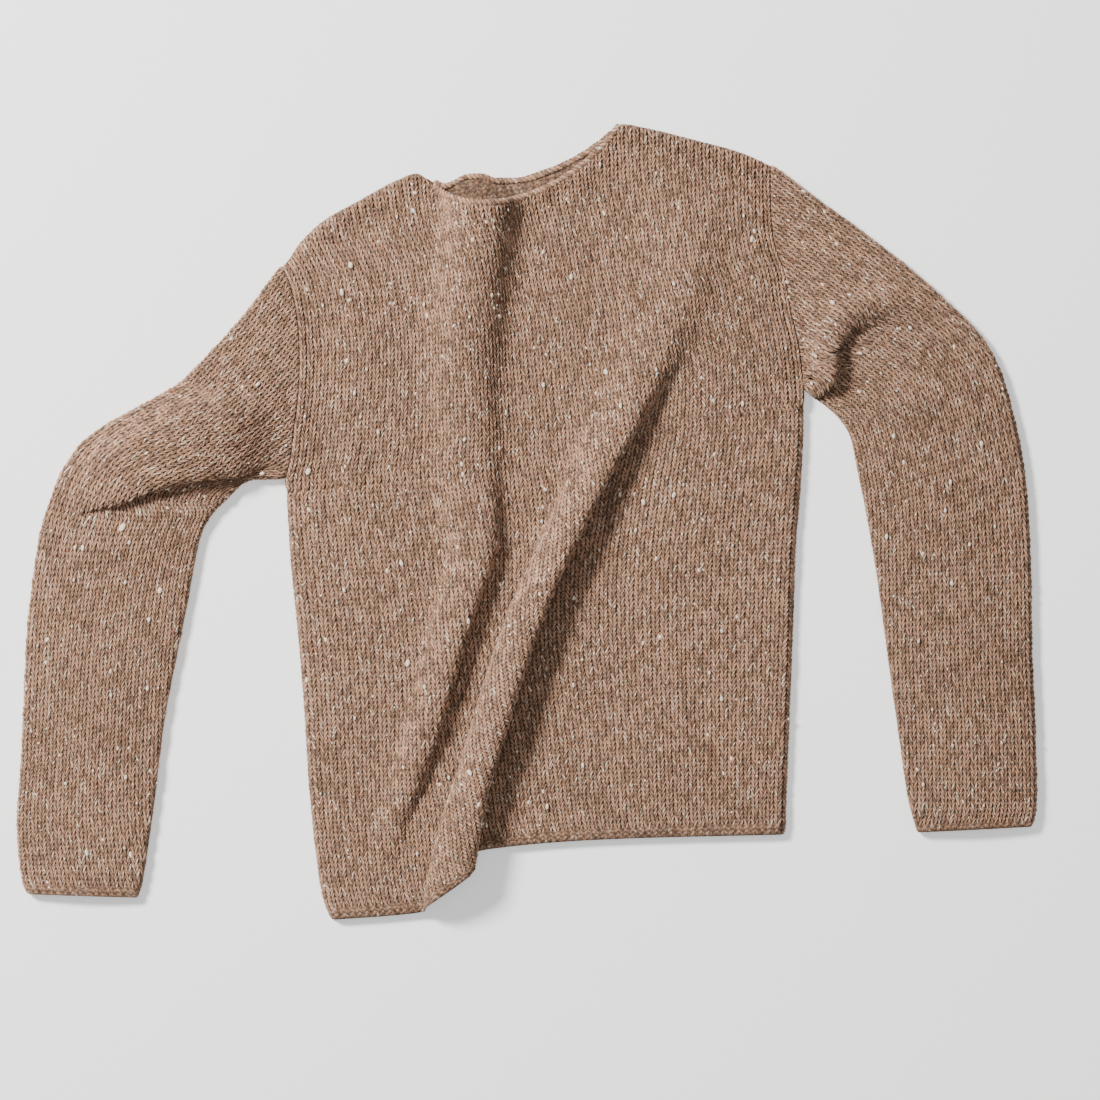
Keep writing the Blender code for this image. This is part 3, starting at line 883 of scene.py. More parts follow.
@dataclass
class Sleeve:
    """A sleeve, as a flattened tube that is cut along the armhole."""

    side: Side
    rings: Table
    lip: Lip
    ripples: Sequence[Table]
    gauge: Gauge = field(default_factory=lambda: Gauge(wale=6.3, course=4.4, seed=11))
    step: float = 1.4  # between the rows of the map
    across_steps: int = 121
    wall: float = 1.5  # how far each side stands off the cloth's middle
    groove: float = 0.8  # how much less the knit side does along its seam

    def __post_init__(self) -> None:
        """Works out the maps of the two sides of the tube and where they are cut."""
        self.turn = (HIGH_MID - LOW_MID) / 2
        self.inset = WALL / 2 + self.turn + SEAM_GAP / 2
        dense = np.linspace(0, len(self.rings.rows) - 1, 400)
        middle = np.array([self.flat(ring, np.array([0.5])) for ring in dense])
        run = run_along(middle)
        self.length = float(run[-1])
        rows = int(round(self.length / self.step)) + 1
        ring_at = np.interp(np.linspace(0, self.length, rows), run, dense)
        halves = [self.half_loops(float(ring)) for ring in ring_at]
        self.row_step = self.length / (rows - 1)
        self.upper = ClothMap.through(np.array([h[0] for h in halves]), flip=self.side is Side.LEFT)
        self.lower = ClothMap.through(np.array([h[1] for h in halves]), flip=self.side is Side.RIGHT)
        self.half = np.array([h[2] for h in halves])

    def flat(self, ring: float, v: Array) -> Array:
        """Points of the laid-out sleeve, in plan.

        Args:
            ring: between which rings, with a fraction.
            v: places from the inner edge (0) to the outer one (1).

        Returns:
            The points.
        """
        ends = [float(self.rings.along(n, ring)) for n in RINGS.split()]
        outer, inner = np.array(ends[:2]), np.array(ends[2:4])
        across = outer - inner
        back = np.array([-across[1], across[0]]) / np.linalg.norm(across) * self.side.sign
        v = np.asarray(v, float)[:, None]
        place = inner + across * v + back * ends[4] * 4 * v * (1 - v)
        return place if len(v) > 1 else place[0]

    def raised(self, ring: float, v: Array) -> tuple[Array, Array]:
        """Points of the upper side: their plan, and their height over the flat sleeve."""
        place = self.flat(ring, v)
        past = past_armhole(self.side, place)
        puff = PUFF * np.sin(math.pi * np.clip(v, 0, 1)) * ease(past / 40.0)
        for table in self.ripples:
            puff = puff + ripple(table, place) * ease(past / 12.0)
        moved, rise = self.lip.lift(place, ease(past / self.lip.root))
        return moved, puff + rise

    def half_loops(self, ring: float) -> tuple[Array, Array, float]:
        """Half rings from the outer edge to the inner one, over the top and underneath."""
        length = float(np.linalg.norm(self.flat(ring, np.array([0.0])) - self.flat(ring, np.array([1.0]))))
        v_in, v_out = self.inset / length, 1 - self.inset / length
        v = np.linspace(v_out, v_in, 110)
        top, rise = self.raised(ring, v)
        low = self.flat(ring, v)
        turns: list[Array] = []
        angle = np.linspace(0, math.pi, 21)[:, None]
        share = (1 + np.cos(angle)) / 2
        for i, way in ((0, 1.0), (-1, 0.0)):
            out = (self.flat(ring, np.array([way])) - low[i]) / self.inset
            plan = low[i] + (top[i] - low[i]) * share + out * self.turn * np.sin(angle)
            turns.append(np.hstack([plan, LOW_MID + (HIGH_MID + rise[i] - LOW_MID) * share]))
        outer, inner = turns
        over = np.hstack([top, (HIGH_MID + rise)[:, None]])
        under = np.hstack([low, np.full((len(v), 1), LOW_MID)])
        upper = np.vstack([outer[10::-1], over[1:-1], inner[:11]])
        lower = np.vstack([outer[10:], under[1:-1], inner[:9:-1]])
        runs = run_along(upper), run_along(lower)
        half = 0.5 * (runs[0][-1] + runs[1][-1])
        return even(upper, runs[0], self.across_steps), even(lower, runs[1], self.across_steps), half

    def first_rows(self, cloth: ClothMap, wide: Array) -> Array:
        """The row at which each column of a face leaves the armhole.

        Args:
            cloth: the map of one side of the tube.
            wide: how far each column is from the outer edge, along the cloth.

        Returns:
            Rows, with their fractions.
        """
        out = past_armhole(self.side, cloth.points)
        last = out.shape[0] - 1 - np.argmax(out[::-1] <= 0, axis=0)
        j = np.arange(out.shape[1])
        cut = last + out[last, j] / (out[last, j] - out[last + 1, j])
        rows, found = np.arange(len(self.half)), np.zeros(len(wide))
        for _ in range(12):
            share = np.clip(wide / np.interp(found, rows, self.half), 0, 1) * (self.across_steps - 1)
            found = np.interp(share, j, cut)
        return found

    def face(self, knit: bool, columns: int, rows: float) -> KnitFace:
        """One face of the tube, in columns from its seam round to its seam again.

        Args:
            knit: whether it is the knit side.
            columns: how many quarters of a wale lie between two columns.
            rows: how many rows of points there are to a course.

        Returns:
            The face.
        """
        quarter = self.gauge.wale / 4
        most = int(math.ceil(self.half.max() / quarter / columns)) * columns
        j = np.arange(-most, most + 1, columns)
        wide = np.abs(j) * quarter
        per_row = self.row_step / self.gauge.course
        starts = self.first_rows(self.upper, wide), self.first_rows(self.lower, wide)
        first = np.where(j > 0, *starts) * per_row
        last = self.length / self.gauge.course
        index = np.arange(-2, int(math.ceil(last * rows)) + 4)[:, None]
        at_half = np.arange(len(self.half))
        near = np.interp(np.clip(index / rows, first, last) / per_row, at_half, self.half)
        c = self.gauge.across(np.minimum(wide, near) / self.gauge.wale)
        shift = self.gauge.slant * (0.5 - c) if knit else 0.0
        courses = np.clip(index / rows + shift, first, last)
        row = courses / per_row
        half = np.interp(row, at_half, self.half)
        run = np.where(wide >= near, half, np.minimum(wide, half - 0.3))
        share = run / half * (self.across_steps - 1)
        above, below = self.upper.at(row, share), self.lower.at(row, share)
        is_upper = (j > 0)[None, :, None]
        place, normal = (np.where(is_upper, a, b) for a, b in zip(above, below))
        wales, from_cuff = run / self.gauge.wale, math.ceil(last) - courses
        end = np.minimum(courses - first, last - courses) * self.gauge.course
        normal = np.where((wide >= near)[..., None], above[1] + below[1], normal)
        normal /= np.linalg.norm(normal, axis=2)[..., None]
        place = place + normal * self.offset(knit, wales, from_cuff, end, half - run)[..., None]
        place[..., 2] = np.maximum(place[..., 2], LEAST_Z)
        mask = np.full_like(courses, 1.0 if knit else 0.0)
        flip = knit == (self.side is Side.LEFT)
        return KnitFace(place, np.stack([wales, from_cuff, mask], axis=2), flip)

    def offset(self, knit: bool, wales: Array, courses: Array, end: Array, seam: Array) -> Array:
        """How far a face stands off the middle of the cloth.

        Args:
            knit: whether it is the knit side.
            wales: places round the sleeve, in stitches.
            courses: places up from the cuff, in stitches.
            end: how far they are from the nearer of the sleeve's two ends.
            seam: how far they are from its seam.

        Returns:
            Distances, in millimetres; less than 0 on the inside.
        """
        sewn = courses * self.gauge.course > 0.5 * self.length
        rounding = rounded(end, np.where(sewn, ROUND_SEAM, ROUND_HEM))
        if not knit:
            return -self.wall * (THIN_INSIDE + (1 - THIN_INSIDE) * rounding)
        relief = self.gauge.relief(wales, courses)
        body = self.wall + relief * (0.35 + 0.65 * ease(end / 5.0)) * ease(seam / 4.0)
        least = np.where(sewn, THIN_EDGE + BLUNT_SEAM, THIN_EDGE)
        return (body - self.groove * (1 - ease(seam / 3.5))) * (least + (1 - least) * rounding)

    def build(self, finish: bpy.types.Material) -> bpy.types.Object:
        """Makes the sleeve's shell."""
        maker = ShellMaker(f"{self.side.value}_sleeve_cloth")
        maker.add_face(self.face(True, 1, 2.0))
        maker.add_face(self.face(False, 4, 0.5))
        maker.close(ends=2)
        return maker.finish(finish)


@dataclass
class NeckEdging:
    """The narrow bound edge in front of a panel's neck line."""

    panel: BodyPanel
    chain: float = 3.9  # length of one bound stitch
    around: int = 14
    flat: float = 0.8  # its height, as a share of its depth
    radius: float = EDGING_RADIUS * 0.95
    leg_slant: float = 1.55
    seed: int = 5

    def path(self, count: int) -> Array:
        """The middle of the edging, in evenly spaced points."""
        j = np.arange(self.panel.per_wale * self.panel.wales + 1)
        place, _ = self.panel.map.at(self.panel.tops / self.panel.step, j)
        along = np.linspace(NECK_LEFT + 7, NECK_RIGHT + 5, 120)
        line = np.stack([np.interp(along, place[:, 0], place[:, k]) for k in range(3)], axis=1)
        way = np.gradient(line, axis=0)
        out = np.stack([-way[:, 1], way[:, 0], np.zeros(len(way))], axis=1)
        out /= np.linalg.norm(out, axis=1)[:, None]
        line = line + out * (EDGING_RADIUS + EDGING_GAP)
        line[:, 2] = np.maximum(line[:, 2], self.flat * EDGING_RADIUS)
        return even(line, run_along(line), count)

    def build(self, finish: bpy.types.Material) -> bpy.types.Object:
        """Makes the edging: a tube whose radius swells with each bound stitch."""
        length = run_along(self.path(200))[-1]
        stitches = int(round(length / self.chain))
        rows = stitches * 8 + 1
        line = self.path(rows)
        way = np.gradient(line, axis=0)
        way /= np.linalg.norm(way, axis=1)[:, None]
        side = np.cross(way, np.array([0.0, 0.0, 1.0]))
        side /= np.linalg.norm(side, axis=1)[:, None]
        up = np.cross(side, way) * self.flat
        s = np.linspace(0, stitches, rows)
        angle = np.linspace(0, TURN, self.around + 1)[None, :]
        wale = 40.25 + (angle - math.pi / 2) / TURN
        phase = s[:, None] - self.leg_slant * (np.abs(wale % 1.0 - 0.5) * 2 - 0.5)
        places = np.arange(0, stitches + 2, 1.7)
        loose = np.interp(s, places, np.random.default_rng(self.seed).uniform(-0.16, 0.16, len(places)))
        swell = 1.1 + loose[:, None] - 0.06 * np.cos(TURN * phase)
        radius = self.radius * swell * rounded(np.minimum(s, stitches - s), 0.7)[:, None]
        round_it = side[:, None] * np.cos(angle)[..., None] + up[:, None] * np.sin(angle)[..., None]
        points = line[:, None] + round_it * radius[..., None]
        points[..., 2] = np.maximum(points[..., 2], LEAST_Z / 2)
        stitch = np.stack([wale + 0 * phase, 40 + s[:, None] + 0 * phase, 1.0 + 0 * phase], axis=2)
        maker = ShellMaker(f"{self.panel.layer.value}_neck_edging")
        maker.add_face(KnitFace(points, stitch, flip=True))
        return maker.finish(finish)


def unit(vector: Array) -> Array:
    """A vector's way, with length 1."""
    return vector / max(float(np.linalg.norm(vector)), 1e-9)


@dataclass
class Scattered:
    """Many small forms on the knit side of one piece, as one mesh."""

    name: str
    face: KnitFace
    count: int
    seed: int

    def __post_init__(self) -> None:
        """Starts the mesh and the random draws."""
        self.rng = np.random.default_rng(self.seed)
        self.shape = bmesh.new()

    def draw(self, margin: int) -> tuple[int, int]:
        """Draws one of the face's points, as a row and a column."""
        rows, columns = self.face.points.shape[:2]
        return int(self.rng.integers(6, rows - 6)), int(self.rng.integers(margin, columns - margin))

    def ways(self, r: int, k: int) -> tuple[Array, Array]:
        """The face's ways across and up, at a point."""
        points = self.face.points
        return points[r, k + 1] - points[r, k - 1], points[r + 2, k] - points[r - 2, k]

    def normal(self, right: Array, up: Array) -> Array:
        """The face's normal, from its two ways."""
        across = np.cross(right, up)
        return across * ((-1 if self.face.flip else 1) / max(float(np.linalg.norm(across)), 1e-9))

    def add(self, form: bmesh.types.BMesh, axes: Array, centre: Array) -> None:
        """Adds a copy of a small form.

        Args:
            form: the form, about 1 in size.
            axes: its three axes, as columns, in millimetres.
            centre: where it stands.
        """
        rows = [[*(float(a) * MM for a in axes[i]), float(centre[i]) * MM] for i in range(3)]
        placed = bpy.data.meshes.new("form")
        form.to_mesh(placed)
        placed.transform(Matrix([*rows, [0, 0, 0, 1]]))
        self.shape.from_mesh(placed)
        bpy.data.meshes.remove(placed)

    def finish(self, material: bpy.types.Material, soft: bool) -> bpy.types.Object:
        """Makes the object, with nothing of it under the ground, and reports it."""
        for vertex in self.shape.verts:
            vertex.co.z = max(vertex.co.z, 0.0)
        bmesh.ops.recalc_face_normals(self.shape, faces=self.shape.faces)
        piece = make_object(self.shape, self.name, material, soft)
        log.info("%s: %d forms, %d faces", self.name, self.count, len(piece.data.polygons))
        return piece


@dataclass
class Neps(Scattered):
    """Small lumps of undyed wool, caught in the stitches."""

    placed: Sequence[Sequence[float]] = ()  # x, y and size of the most prominent ones
    longest: float = 5.0
    shortest: float = 2.0
    depth: float = 0.42  # as a share of their length

    def under(self, x: float, y: float) -> tuple[int, int]:
        """The row and column of the face's point that is seen at a place in plan."""
        gap = np.hypot(self.face.points[..., 0] - x, self.face.points[..., 1] - y)
        gap = gap - np.where(gap < 3.0, 0.2 * self.face.points[..., 2], 0.0)
        rows, columns = gap.shape
        r, k = np.unravel_index(int(np.argmin(gap)), gap.shape)
        return min(max(int(r), 6), rows - 7), min(max(int(k), 3), columns - 4)

    def ball(self) -> bmesh.types.BMesh:
        """A ball of radius 1, with its faces in the same order each run."""
        lump = bmesh.new()
        bmesh.ops.create_uvsphere(lump, u_segments=8, v_segments=5, radius=1.0)
        lump.verts.index_update()
        count = len(lump.verts)
        lump.faces.sort(key=lambda f: sum(v.index * count**k for k, v in enumerate(f.verts)))
        return lump

    def build(self, finish: bpy.types.Material) -> bpy.types.Object:
        """Makes the lumps, each a flattened oval along its leg of yarn."""
        lump = self.ball()
        made = 0
        while made < self.count:
            by_hand = made < len(self.placed)
            r, k = self.draw(margin=3)
            if by_hand:
                r, k = self.under(*self.placed[made][:2])
            right, up = self.ways(r, k)
            if not by_hand and (np.linalg.norm(up) < 3 or np.linalg.norm(right) < 1):
                continue
            made += 1
            normal = self.normal(right, up)
            lean = float(self.rng.normal(0, 0.5))
            long_way = unit(up) * math.cos(lean) + unit(right) * math.sin(lean)
            size = self.shortest + (self.longest - self.shortest) * float(self.rng.random()) ** 3
            size = self.placed[made - 1][2] if by_hand else size
            scale = np.array([size * self.rng.uniform(0.5, 0.68), size, size * self.depth]) * 0.5
            wide = np.cross(long_way, normal)
            axes = np.stack([wide * scale[0], long_way * scale[1], normal * scale[2]], axis=1)
            self.add(lump, axes, self.face.points[r, k] + 0.3 * normal)
        lump.free()
        return self.finish(finish, soft=True)


@dataclass
class Fuzz(Scattered):
    """Short loose fibres that stand off the yarn."""

    thickness: float = 0.11
    shortest: float = 1.6
    longest: float = 4.4

    def build(self, finish: bpy.types.Material) -> bpy.types.Object:
        """Makes the fibres, each a thin spike with three sides."""
        spike = bmesh.new()
        bmesh.ops.create_cone(
            spike, cap_ends=True, cap_tris=True, segments=3, radius1=1.0, radius2=0.15, depth=1.0
        )
        made = 0
        while made < self.count:
            r, k = self.draw(margin=2)
            right, up = self.ways(r, k)
            if np.linalg.norm(up) < 2 or np.linalg.norm(right) < 0.6:
                continue
            made += 1
            normal = self.normal(right, up)
            turn, tilt = float(self.rng.uniform(0, TURN)), float(self.rng.uniform(0.15, 1.0))
            flat = unit(up) * math.cos(turn) + unit(right) * math.sin(turn)
            way = unit(flat * math.cos(tilt) + normal * math.sin(tilt))
            long = float(self.rng.uniform(self.shortest, self.longest))
            wide = unit(np.cross(way, normal))
            deep = np.cross(way, wide)
            axes = np.stack([wide * self.thickness, deep * self.thickness, way * long], axis=1)
            self.add(spike, axes, self.face.points[r, k] + way * 0.45 * long)
        spike.free()
        return self.finish(finish, soft=False)


class Value:
    """A number that varies over a surface, with the arithmetic of a shader."""

    def __init__(self, tree: "NodeTree", socket: bpy.types.NodeSocket) -> None:
        """Wraps an output socket of a tree."""
        self.tree, self.socket = tree, socket

    def maths(self, operation: str, *others: Any) -> "Value":
        """A Math node on this value and others."""
        inputs = dict(enumerate((self, *others)))
        return Value(self.tree, self.tree.node("ShaderNodeMath", {"operation": operation}, inputs).outputs[0])

    def __add__(self, other: Any) -> "Value":
        """Sum."""
        return self.maths("ADD", other)

    __radd__ = __add__

    def __mul__(self, other: Any) -> "Value":
        """Product."""
        return self.maths("MULTIPLY", other)

    __rmul__ = __mul__

    def __sub__(self, other: Any) -> "Value":
        """Difference."""
        return self.maths("SUBTRACT", other)

    def __rsub__(self, other: Any) -> "Value":
        """Difference from a number."""
        return (self * -1.0) + other

    def between(self, low: float, high: float) -> "Value":
        """0 below low and 1 above high, with a soft step in between; high may be the lower one."""
        first, last = (0.0, 1.0) if low < high else (1.0, 0.0)
        ends = {"From Min": min(low, high), "From Max": max(low, high), "To Min": first, "To Max": last}
        settings = {"interpolation_type": "SMOOTHSTEP"}
        node = self.tree.node("ShaderNodeMapRange", settings, {"Value": self, **ends})
        return Value(self.tree, node.outputs[0])


class NodeTree:
    """The nodes of one material."""

    def __init__(self, name: str) -> None:
        """Starts a material called name."""
        self.material = bpy.data.materials.new(name)
        self.material.use_nodes = True
        self.nodes = self.material.node_tree.nodes
        self.shader = self.nodes["Principled BSDF"]

    def node(self, kind: str, settings: dict[str, Any], inputs: dict[Any, Any]) -> bpy.types.Node:
        """Adds a node.

        Args:
            kind: the node's type.
            settings: its own settings, made first.
            inputs: values or links of its sockets, by name or number.

        Returns:
            The node.
        """
        node = self.nodes.new(kind)
        for name, setting in settings.items():
            setattr(node, name, setting)
        for name, value in inputs.items():
            self.feed(node.inputs[name], value)
        return node

    def feed(self, socket: bpy.types.NodeSocket, value: Any) -> None:
        """Sets a socket, or links it to a value or an output."""
        source = value.socket if isinstance(value, Value) else value
        if isinstance(source, bpy.types.NodeSocket):
            self.material.node_tree.links.new(source, socket)
        else:
            socket.default_value = source

    def dress(self, **inputs: Any) -> bpy.types.Material:
        """Feeds the shader's sockets, named with _ for a space, and gives the material."""
        for name, value in inputs.items():
            self.feed(self.shader.inputs[name.replace("_", " ")], value)
        return self.material

    def place(self) -> bpy.types.NodeSocket:
        """Where on the object a point is, in metres."""
        return self.node("ShaderNodeTexCoord", {}, {}).outputs["Object"]

    def split(self, vector: Any) -> tuple[Value, ...]:
        """A vector's three numbers."""
        parts = self.node("ShaderNodeSeparateXYZ", {}, {0: vector})
        return tuple(Value(self, out) for out in parts.outputs)

    def join(self, x: Any, y: Any, z: Any) -> bpy.types.NodeSocket:
        """A vector of three numbers."""
        return self.node("ShaderNodeCombineXYZ", {}, {0: x, 1: y, 2: z}).outputs[0]

    def mix(self, share: Any, first: Any, second: Any, blend: str = "MIX") -> bpy.types.NodeSocket:
        """A mixed colour."""
        settings = {"data_type": "RGBA", "blend_type": blend}
        return self.node("ShaderNodeMix", settings, {0: share, 6: first, 7: second}).outputs[2]

    def noise(self, where: Any, scale: float, detail: float = 2.0, rough: float = 0.5) -> Value:
        """Soft noise about 0.5."""
        inputs = {"Vector": where, "Scale": scale, "Detail": detail, "Roughness": rough}
        return Value(self, self.node("ShaderNodeTexNoise", {}, inputs).outputs[0])

    def bump(self, strength: float, distance: float, height: Value) -> bpy.types.NodeSocket:
        """A normal that a height disturbs."""
        inputs = {"Strength": strength, "Distance": distance, "Height": height}
        return self.node("ShaderNodeBump", {}, inputs).outputs[0]


def linear(red: int, green: int, blue: int) -> tuple[float, float, float, float]:
    """A screen colour, from 0 to 255, as the shader's own numbers."""
    out = [c / 255 / 12.92 if c <= 10 else ((c / 255 + 0.055) / 1.055) ** 2.4 for c in (red, green, blue)]
    return (*out, 1.0)


@dataclass(frozen=True)
class TweedKnit:
    """Heathered tweed yarn in stockinette: brown, with lighter, cream and rusty legs, and painted shade in
    the gaps between them.
    """

    slot: str
    slant: float = 1.55
    dark: tuple[float, ...] = linear(108, 81, 63)
    tan: tuple[float, ...] = linear(190, 145, 114)
    rosy: tuple[float, ...] = linear(184, 143, 121)
    # the gaps between legs and wales: partly their own dark, partly painted shade
    gap: tuple[float, ...] = linear(53, 39, 30)
    cream: tuple[float, ...] = linear(244, 224, 197)
    rust: tuple[float, ...] = linear(134, 58, 22)
    # how light the yarn is painted; under 1 it is darker, which paints shade on the back and its neck edging
    shade_tone: float = 1.0

    def yarn(self, tree: NodeTree, leg: Value, row: Value, fibre: Value, fine: Value) -> bpy.types.NodeSocket:
        """The yarn's colour.

        Args:
            tree: the material's nodes.
            leg: the number of the leg, across the cloth.
            row: its number up the cloth.
            fibre: noise of the yarn's fibres.
            fine: finer noise.

        Returns:
            The colour.
        """
        settings = {"noise_dimensions": "2D"}
        chance = tree.node("ShaderNodeTexWhiteNoise", settings, {"Vector": tree.join(leg, row, 0.0)})
        pick = Value(tree, chance.outputs["Value"])
        p1, p2, p3 = tree.split(chance.outputs["Color"])
        colour = tree.mix(p1, self.tan, self.rosy)
        colour = tree.mix((p2 + (fibre - 0.5) * 3.0).between(0.0, 1.0) * 0.95, colour, self.dark)
        colour = tree.mix((pick * 0.55 + fibre * 0.9).between(0.95, 1.08) * 0.8, colour, self.cream)
        colour = tree.mix((fine + fibre).between(1.18, 1.3) * 0.75, colour, self.cream)
        return tree.mix((p3 * fibre.between(0.35, 0.6)).between(0.955, 0.985) * 0.8, colour, self.rust)

    def build(self) -> bpy.types.Material:
        """Makes the material."""
        tree = NodeTree(self.slot)
        place = tree.place()
        fibre = tree.noise(place, 520.0, 2.0, 0.65)
        fine = tree.noise(place, 1300.0, 1.0, 0.5)
        ragged = tree.noise(place, 260.0, 2.0, 0.6) - 0.5
        sway = tree.noise(place, 90.0, 1.0, 0.5) - 0.5
        layer = {"attribute_name": ShellMaker.layer_name}
        wale, course, knit = tree.split(tree.node("ShaderNodeAttribute", layer, {}).outputs["Vector"])
        moved = wale + sway * 0.28 + ragged * 0.19
        across = (moved.maths("FRACT") - 0.5).maths("ABSOLUTE") * 2.0
        along = course - across * self.slant + 0.5 * self.slant + ragged * 0.7
        row = along.maths("FLOOR")
        colour = self.yarn(tree, (moved * 2.0).maths("FLOOR"), row, fibre, fine)
        # Painted shade and highlight: the yarn darkens toward the gap colour between wales and in the groove
        # between a wale's two legs, and is lightest in the middle of each leg.
        strand = 1 - ((along - row) * 2.0 - 1.0).maths("ABSOLUTE").maths("POWER", 1.9)
        edge = across + ragged * 0.25
        outer = (edge - strand * 0.26).between(0.84, 0.5)
        inner = (edge + strand * 0.26).between(0.12, 0.46)
        light = outer * inner * (strand * 0.62 + 0.38)
        ridge = (course + (moved * TURN).maths("COSINE") * 0.2 + ragged * 1.1).maths("FRACT")
        purl = 1 - (ridge * 2.0 - 1.0).maths("ABSOLUTE").maths("POWER", 1.6)
        plain = knit * course.between(1.8, 2.4)
        # Painted shade on the purl side and the bound border: darker in the troughs between purl ridges and
        # toward the gaps between wales. The purl faces (knit 0), seen inside the back at the neck, are
        # painted 30% darker still, as shade under the front.
        nub = (1 - across.maths("POWER", 3.0) * 0.55) * (purl * 0.62 + 0.16) * (knit * 0.3 + 0.7)
        shown = plain * light + (1 - plain) * nub
        colour = tree.mix(shown, self.gap, colour)
        wide, close = tree.noise(place, 14.0, 3.0, 0.6), tree.noise(place, 75.0, 2.0, 0.6)
        # Random mottle over a base of 0.7 times shade_tone, which paints some pieces darker as shade.
        mottle = wide * 0.3 + close * 0.3 + 0.7 * self.shade_tone
        return tree.dress(
            Base_Color=tree.mix(1.0, colour, tree.join(mottle, mottle, mottle), "MULTIPLY"),
            Normal=tree.bump(0.85, 0.0007, shown * 0.9 + fibre * 0.4 + fine * 0.25),
            Roughness=0.92,
            Specular_IOR_Level=0.15,
            Sheen_Weight=0.18,
            Sheen_Roughness=0.6,
            Sheen_Tint=linear(226, 200, 180),
        )


@dataclass(frozen=True)
class UndyedWool:
    """The cream wool of the neps."""

    name: str = "undyed_wool"
    colour: tuple[float, ...] = linear(238, 226, 212)
    shade: tuple[float, ...] = linear(196, 176, 156)

    def build(self) -> bpy.types.Material:
        """Makes the material."""
        tree = NodeTree(self.name)
        fibre = tree.noise(tree.place(), 1500.0, 2.0, 0.6)
        colour = tree.mix(fibre.between(0.35, 0.65), self.shade, self.colour)
        return tree.dress(Base_Color=colour, Normal=tree.bump(0.6, 0.0004, fibre), Roughness=0.95)


@dataclass(frozen=True)
class LooseWool:
    """The light brown wool of the loose fibres."""

    name: str = "loose_wool"
    colour: tuple[float, ...] = linear(196, 164, 140)

    def build(self) -> bpy.types.Material:
        """Makes the material."""
        return NodeTree(self.name).dress(Base_Color=self.colour, Roughness=0.95)


@dataclass(frozen=True)
class Lamp:
    """A square soft light that faces the cloth."""

    name: str
    place: tuple[float, float, float]  # in metres, as its size
    size: float
    power: float  # in watts
    tint: tuple[float, float, float]

    def build(self) -> None:
        """Hangs the light."""
        data = bpy.data.lights.new(self.name, "AREA")
        data.shape, data.size, data.energy, data.color = "SQUARE", self.size, self.power, self.tint
        light = bpy.data.objects.new(self.name, data)
        light.location = self.place
        light.rotation_euler = (-Vector(self.place)).to_track_quat("-Z", "Y").to_euler()
        bpy.context.scene.collection.objects.link(light)


@dataclass(frozen=True)
class Studio:
    """A pale floor, soft light from the upper left and a camera that looks straight down."""

    centre_x: float = 19.3
    centre_y: float = -23.5
    view: float = 924.0  # width of the picture, on the floor
    height: float = 4000.0
    sensor: float = 36.0
    floor_white: float = 0.92
    floor_glow: float = 0.4
    daylight: float = 0.31
    lamps: tuple[Lamp, ...] = (
        Lamp("key", (-2.3, 1.7, 2.42), 0.85, 350.0, (1.0, 0.985, 0.965)),
        Lamp("fill", (0.3, -0.2, 3.6), 2.6, 34.0, (0.98, 0.99, 1.0)),
    )

    def floor(self) -> None:
        """Makes the floor."""
        white = (1.0, 1.0, 1.0, 1.0)
        paint = NodeTree("floor_paint").dress(
            Base_Color=(self.floor_white, self.floor_white, self.floor_white, 1.0),
            Roughness=0.9,
            Emission_Color=white,
            Emission_Strength=self.floor_glow,
        )
        shape = bmesh.new()
        bmesh.ops.create_grid(shape, x_segments=1, y_segments=1, size=4.0)
        make_object(shape, "floor", paint, soft=False)

    def camera(self) -> None:
        """Adds the camera."""
        data = bpy.data.cameras.new("camera")
        data.sensor_width = self.sensor
        data.lens = self.sensor * self.height / self.view
        data.clip_end = 100.0
        camera = bpy.data.objects.new("camera", data)
        camera.location = (self.centre_x * MM, self.centre_y * MM, self.height * MM)
        bpy.context.scene.collection.objects.link(camera)
        bpy.context.scene.camera = camera

    def build(self) -> None:
        """Sets up floor, lights and camera."""
        self.floor()
        for lamp in self.lamps:
            lamp.build()
        world = bpy.data.worlds.new("studio")
        world.use_nodes = True
        sky = world.node_tree.nodes["Background"].inputs
        sky["Color"].default_value = (1.0, 1.0, 1.0, 1.0)
        sky["Strength"].default_value = self.daylight
        bpy.context.scene.world = world
        self.camera()


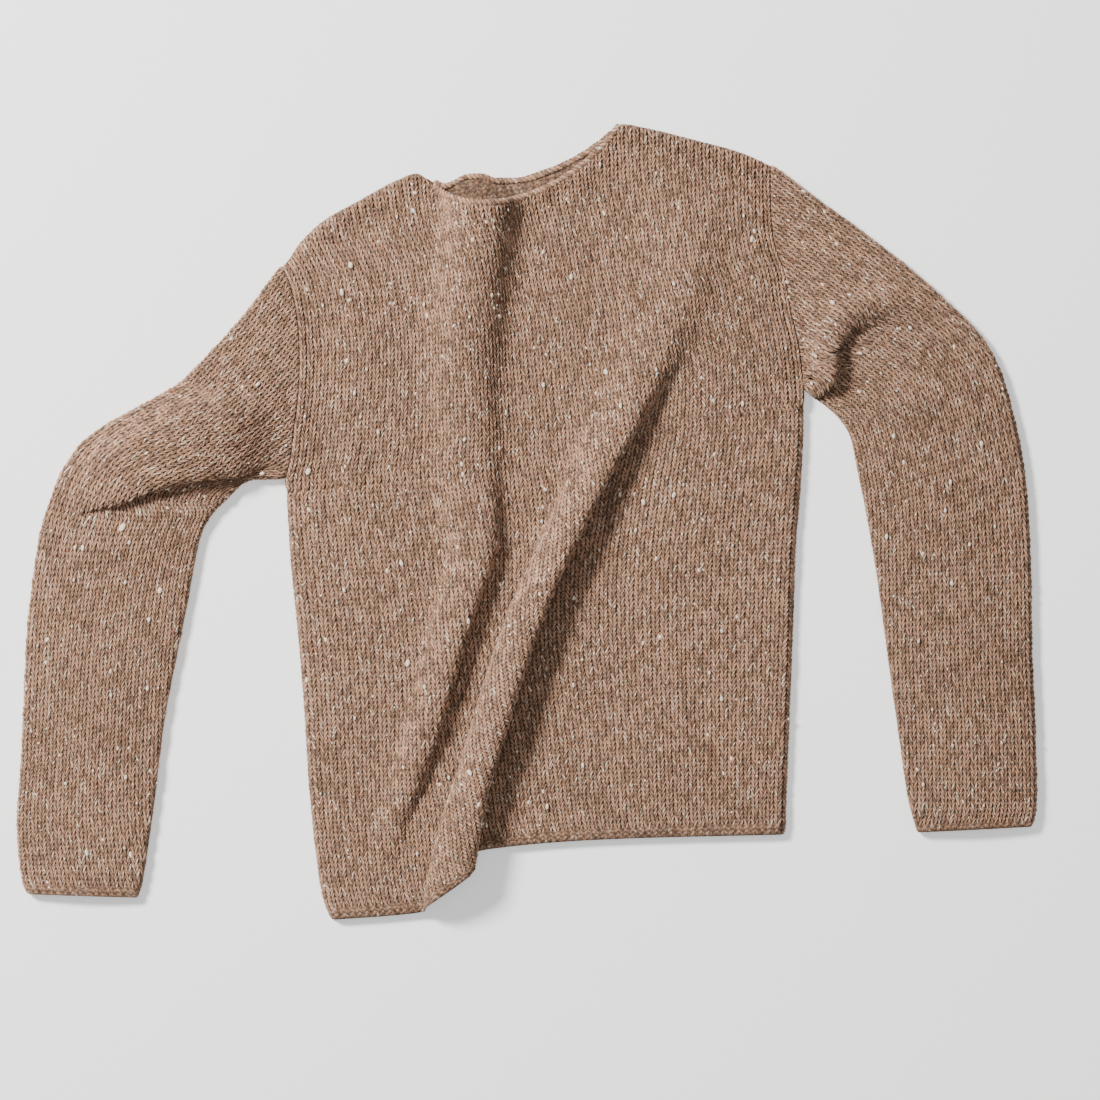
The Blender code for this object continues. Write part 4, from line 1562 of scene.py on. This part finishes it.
@dataclass
class Sweater:
    """The whole sweater."""

    pieces: list[bpy.types.Object] = field(default_factory=list)

    def declare(self, piece: bpy.types.Object, slot: str, *nodes: str) -> bpy.types.Object:
        """Makes a piece ride and lets it stand for its nodes."""
        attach(piece, "root")
        if nodes:
            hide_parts(*nodes)
        self.pieces.append(piece)
        return piece

    def cloth(
        self, maker: BodyPanel | Sleeve | NeckEdging, name: str, node: str, shade_tone: float = 1.0
    ) -> bpy.types.Object:
        """Args:
            maker: what builds it.
            name: the piece's name, as its finish has it.
            node: the node.
            shade_tone: how light its yarn is painted; the back and its neck edging are darker as painted
                shade, the front's edging and the right sleeve a little darker.

        Returns:
            The piece.
        """
        slot = f"{name}_knit"
        return self.declare(maker.build(TweedKnit(slot, shade_tone=shade_tone).build()), slot, node)

    def build(self) -> None:
        """Builds and declares every piece."""
        wool = UndyedWool().build()
        front = BodyPanel(Layer.FRONT)
        back = BodyPanel(Layer.BACK, gauge=Gauge(wale=7.3, course=4.1, seed=23))
        left = Sleeve(Side.LEFT, LEFT_RINGS, Lip(LEFT_LIP, 52.0), (LEFT_ELBOW,))
        right_gauge = Gauge(wale=6.3, course=4.4, seed=31)
        ridges = (RIGHT_ARC, RIGHT_ELBOW)
        right = Sleeve(Side.RIGHT, RIGHT_RINGS, Lip(RIGHT_LIP, 20.0), ridges, gauge=right_gauge)
        front_cloth = self.cloth(front, "front", "front")
        # The back is painted darker, as shade where it shows inside the neck under the front.
        back_cloth = self.cloth(back, "back", "back", 0.9)
        left_cloth = self.cloth(left, "left_sleeve", "sleeve_left")
        right_cloth = self.cloth(right, "right_sleeve", "sleeve_right", 0.97)
        edging_front = self.cloth(NeckEdging(front), "front_edging", "neck_edge_front", 0.94)
        # The back's neck edging is painted darker too, as shade.
        edging_back = self.cloth(NeckEdging(back), "back_edging", "neck_edge_back", 0.9)
        loose = LooseWool().build()
        for part, maker, neps, fibres in (
            ("front", front, 500, 6000),
            ("back", back, 200, 1500),
            ("left_sleeve", left, 280, 2600),
            ("right_sleeve", right, 280, 2600),
        ):
            face, seed = maker.face(True, 1, 2.0), len(part)
            lumps = Neps(f"{part}_neps", face, neps, seed, PLACED_NEPS.get(part, ())).build(wool)
            fuzz = Fuzz(f"{part}_fuzz", face, fibres, seed).build(loose)
            [self.declare(piece, f"{part}_knit") for piece in (lumps, fuzz)]


def main() -> None:
    """Builds the sweater and its studio, and reports each piece."""
    logging.basicConfig(level=logging.INFO, format="%(relativeCreated)d ms %(message)s")
    Studio().build()
    sweater = Sweater()
    sweater.build()
    for piece in sweater.pieces:
        corners = [Vector(c) for c in piece.bound_box]
        size = [max(c[k] for c in corners) - min(c[k] for c in corners) for k in range(3)]
        log.info("%s: %.0f x %.0f x %.1f mm", piece.name, *(1000 * s for s in size))


if __name__ == "__main__":
    main()
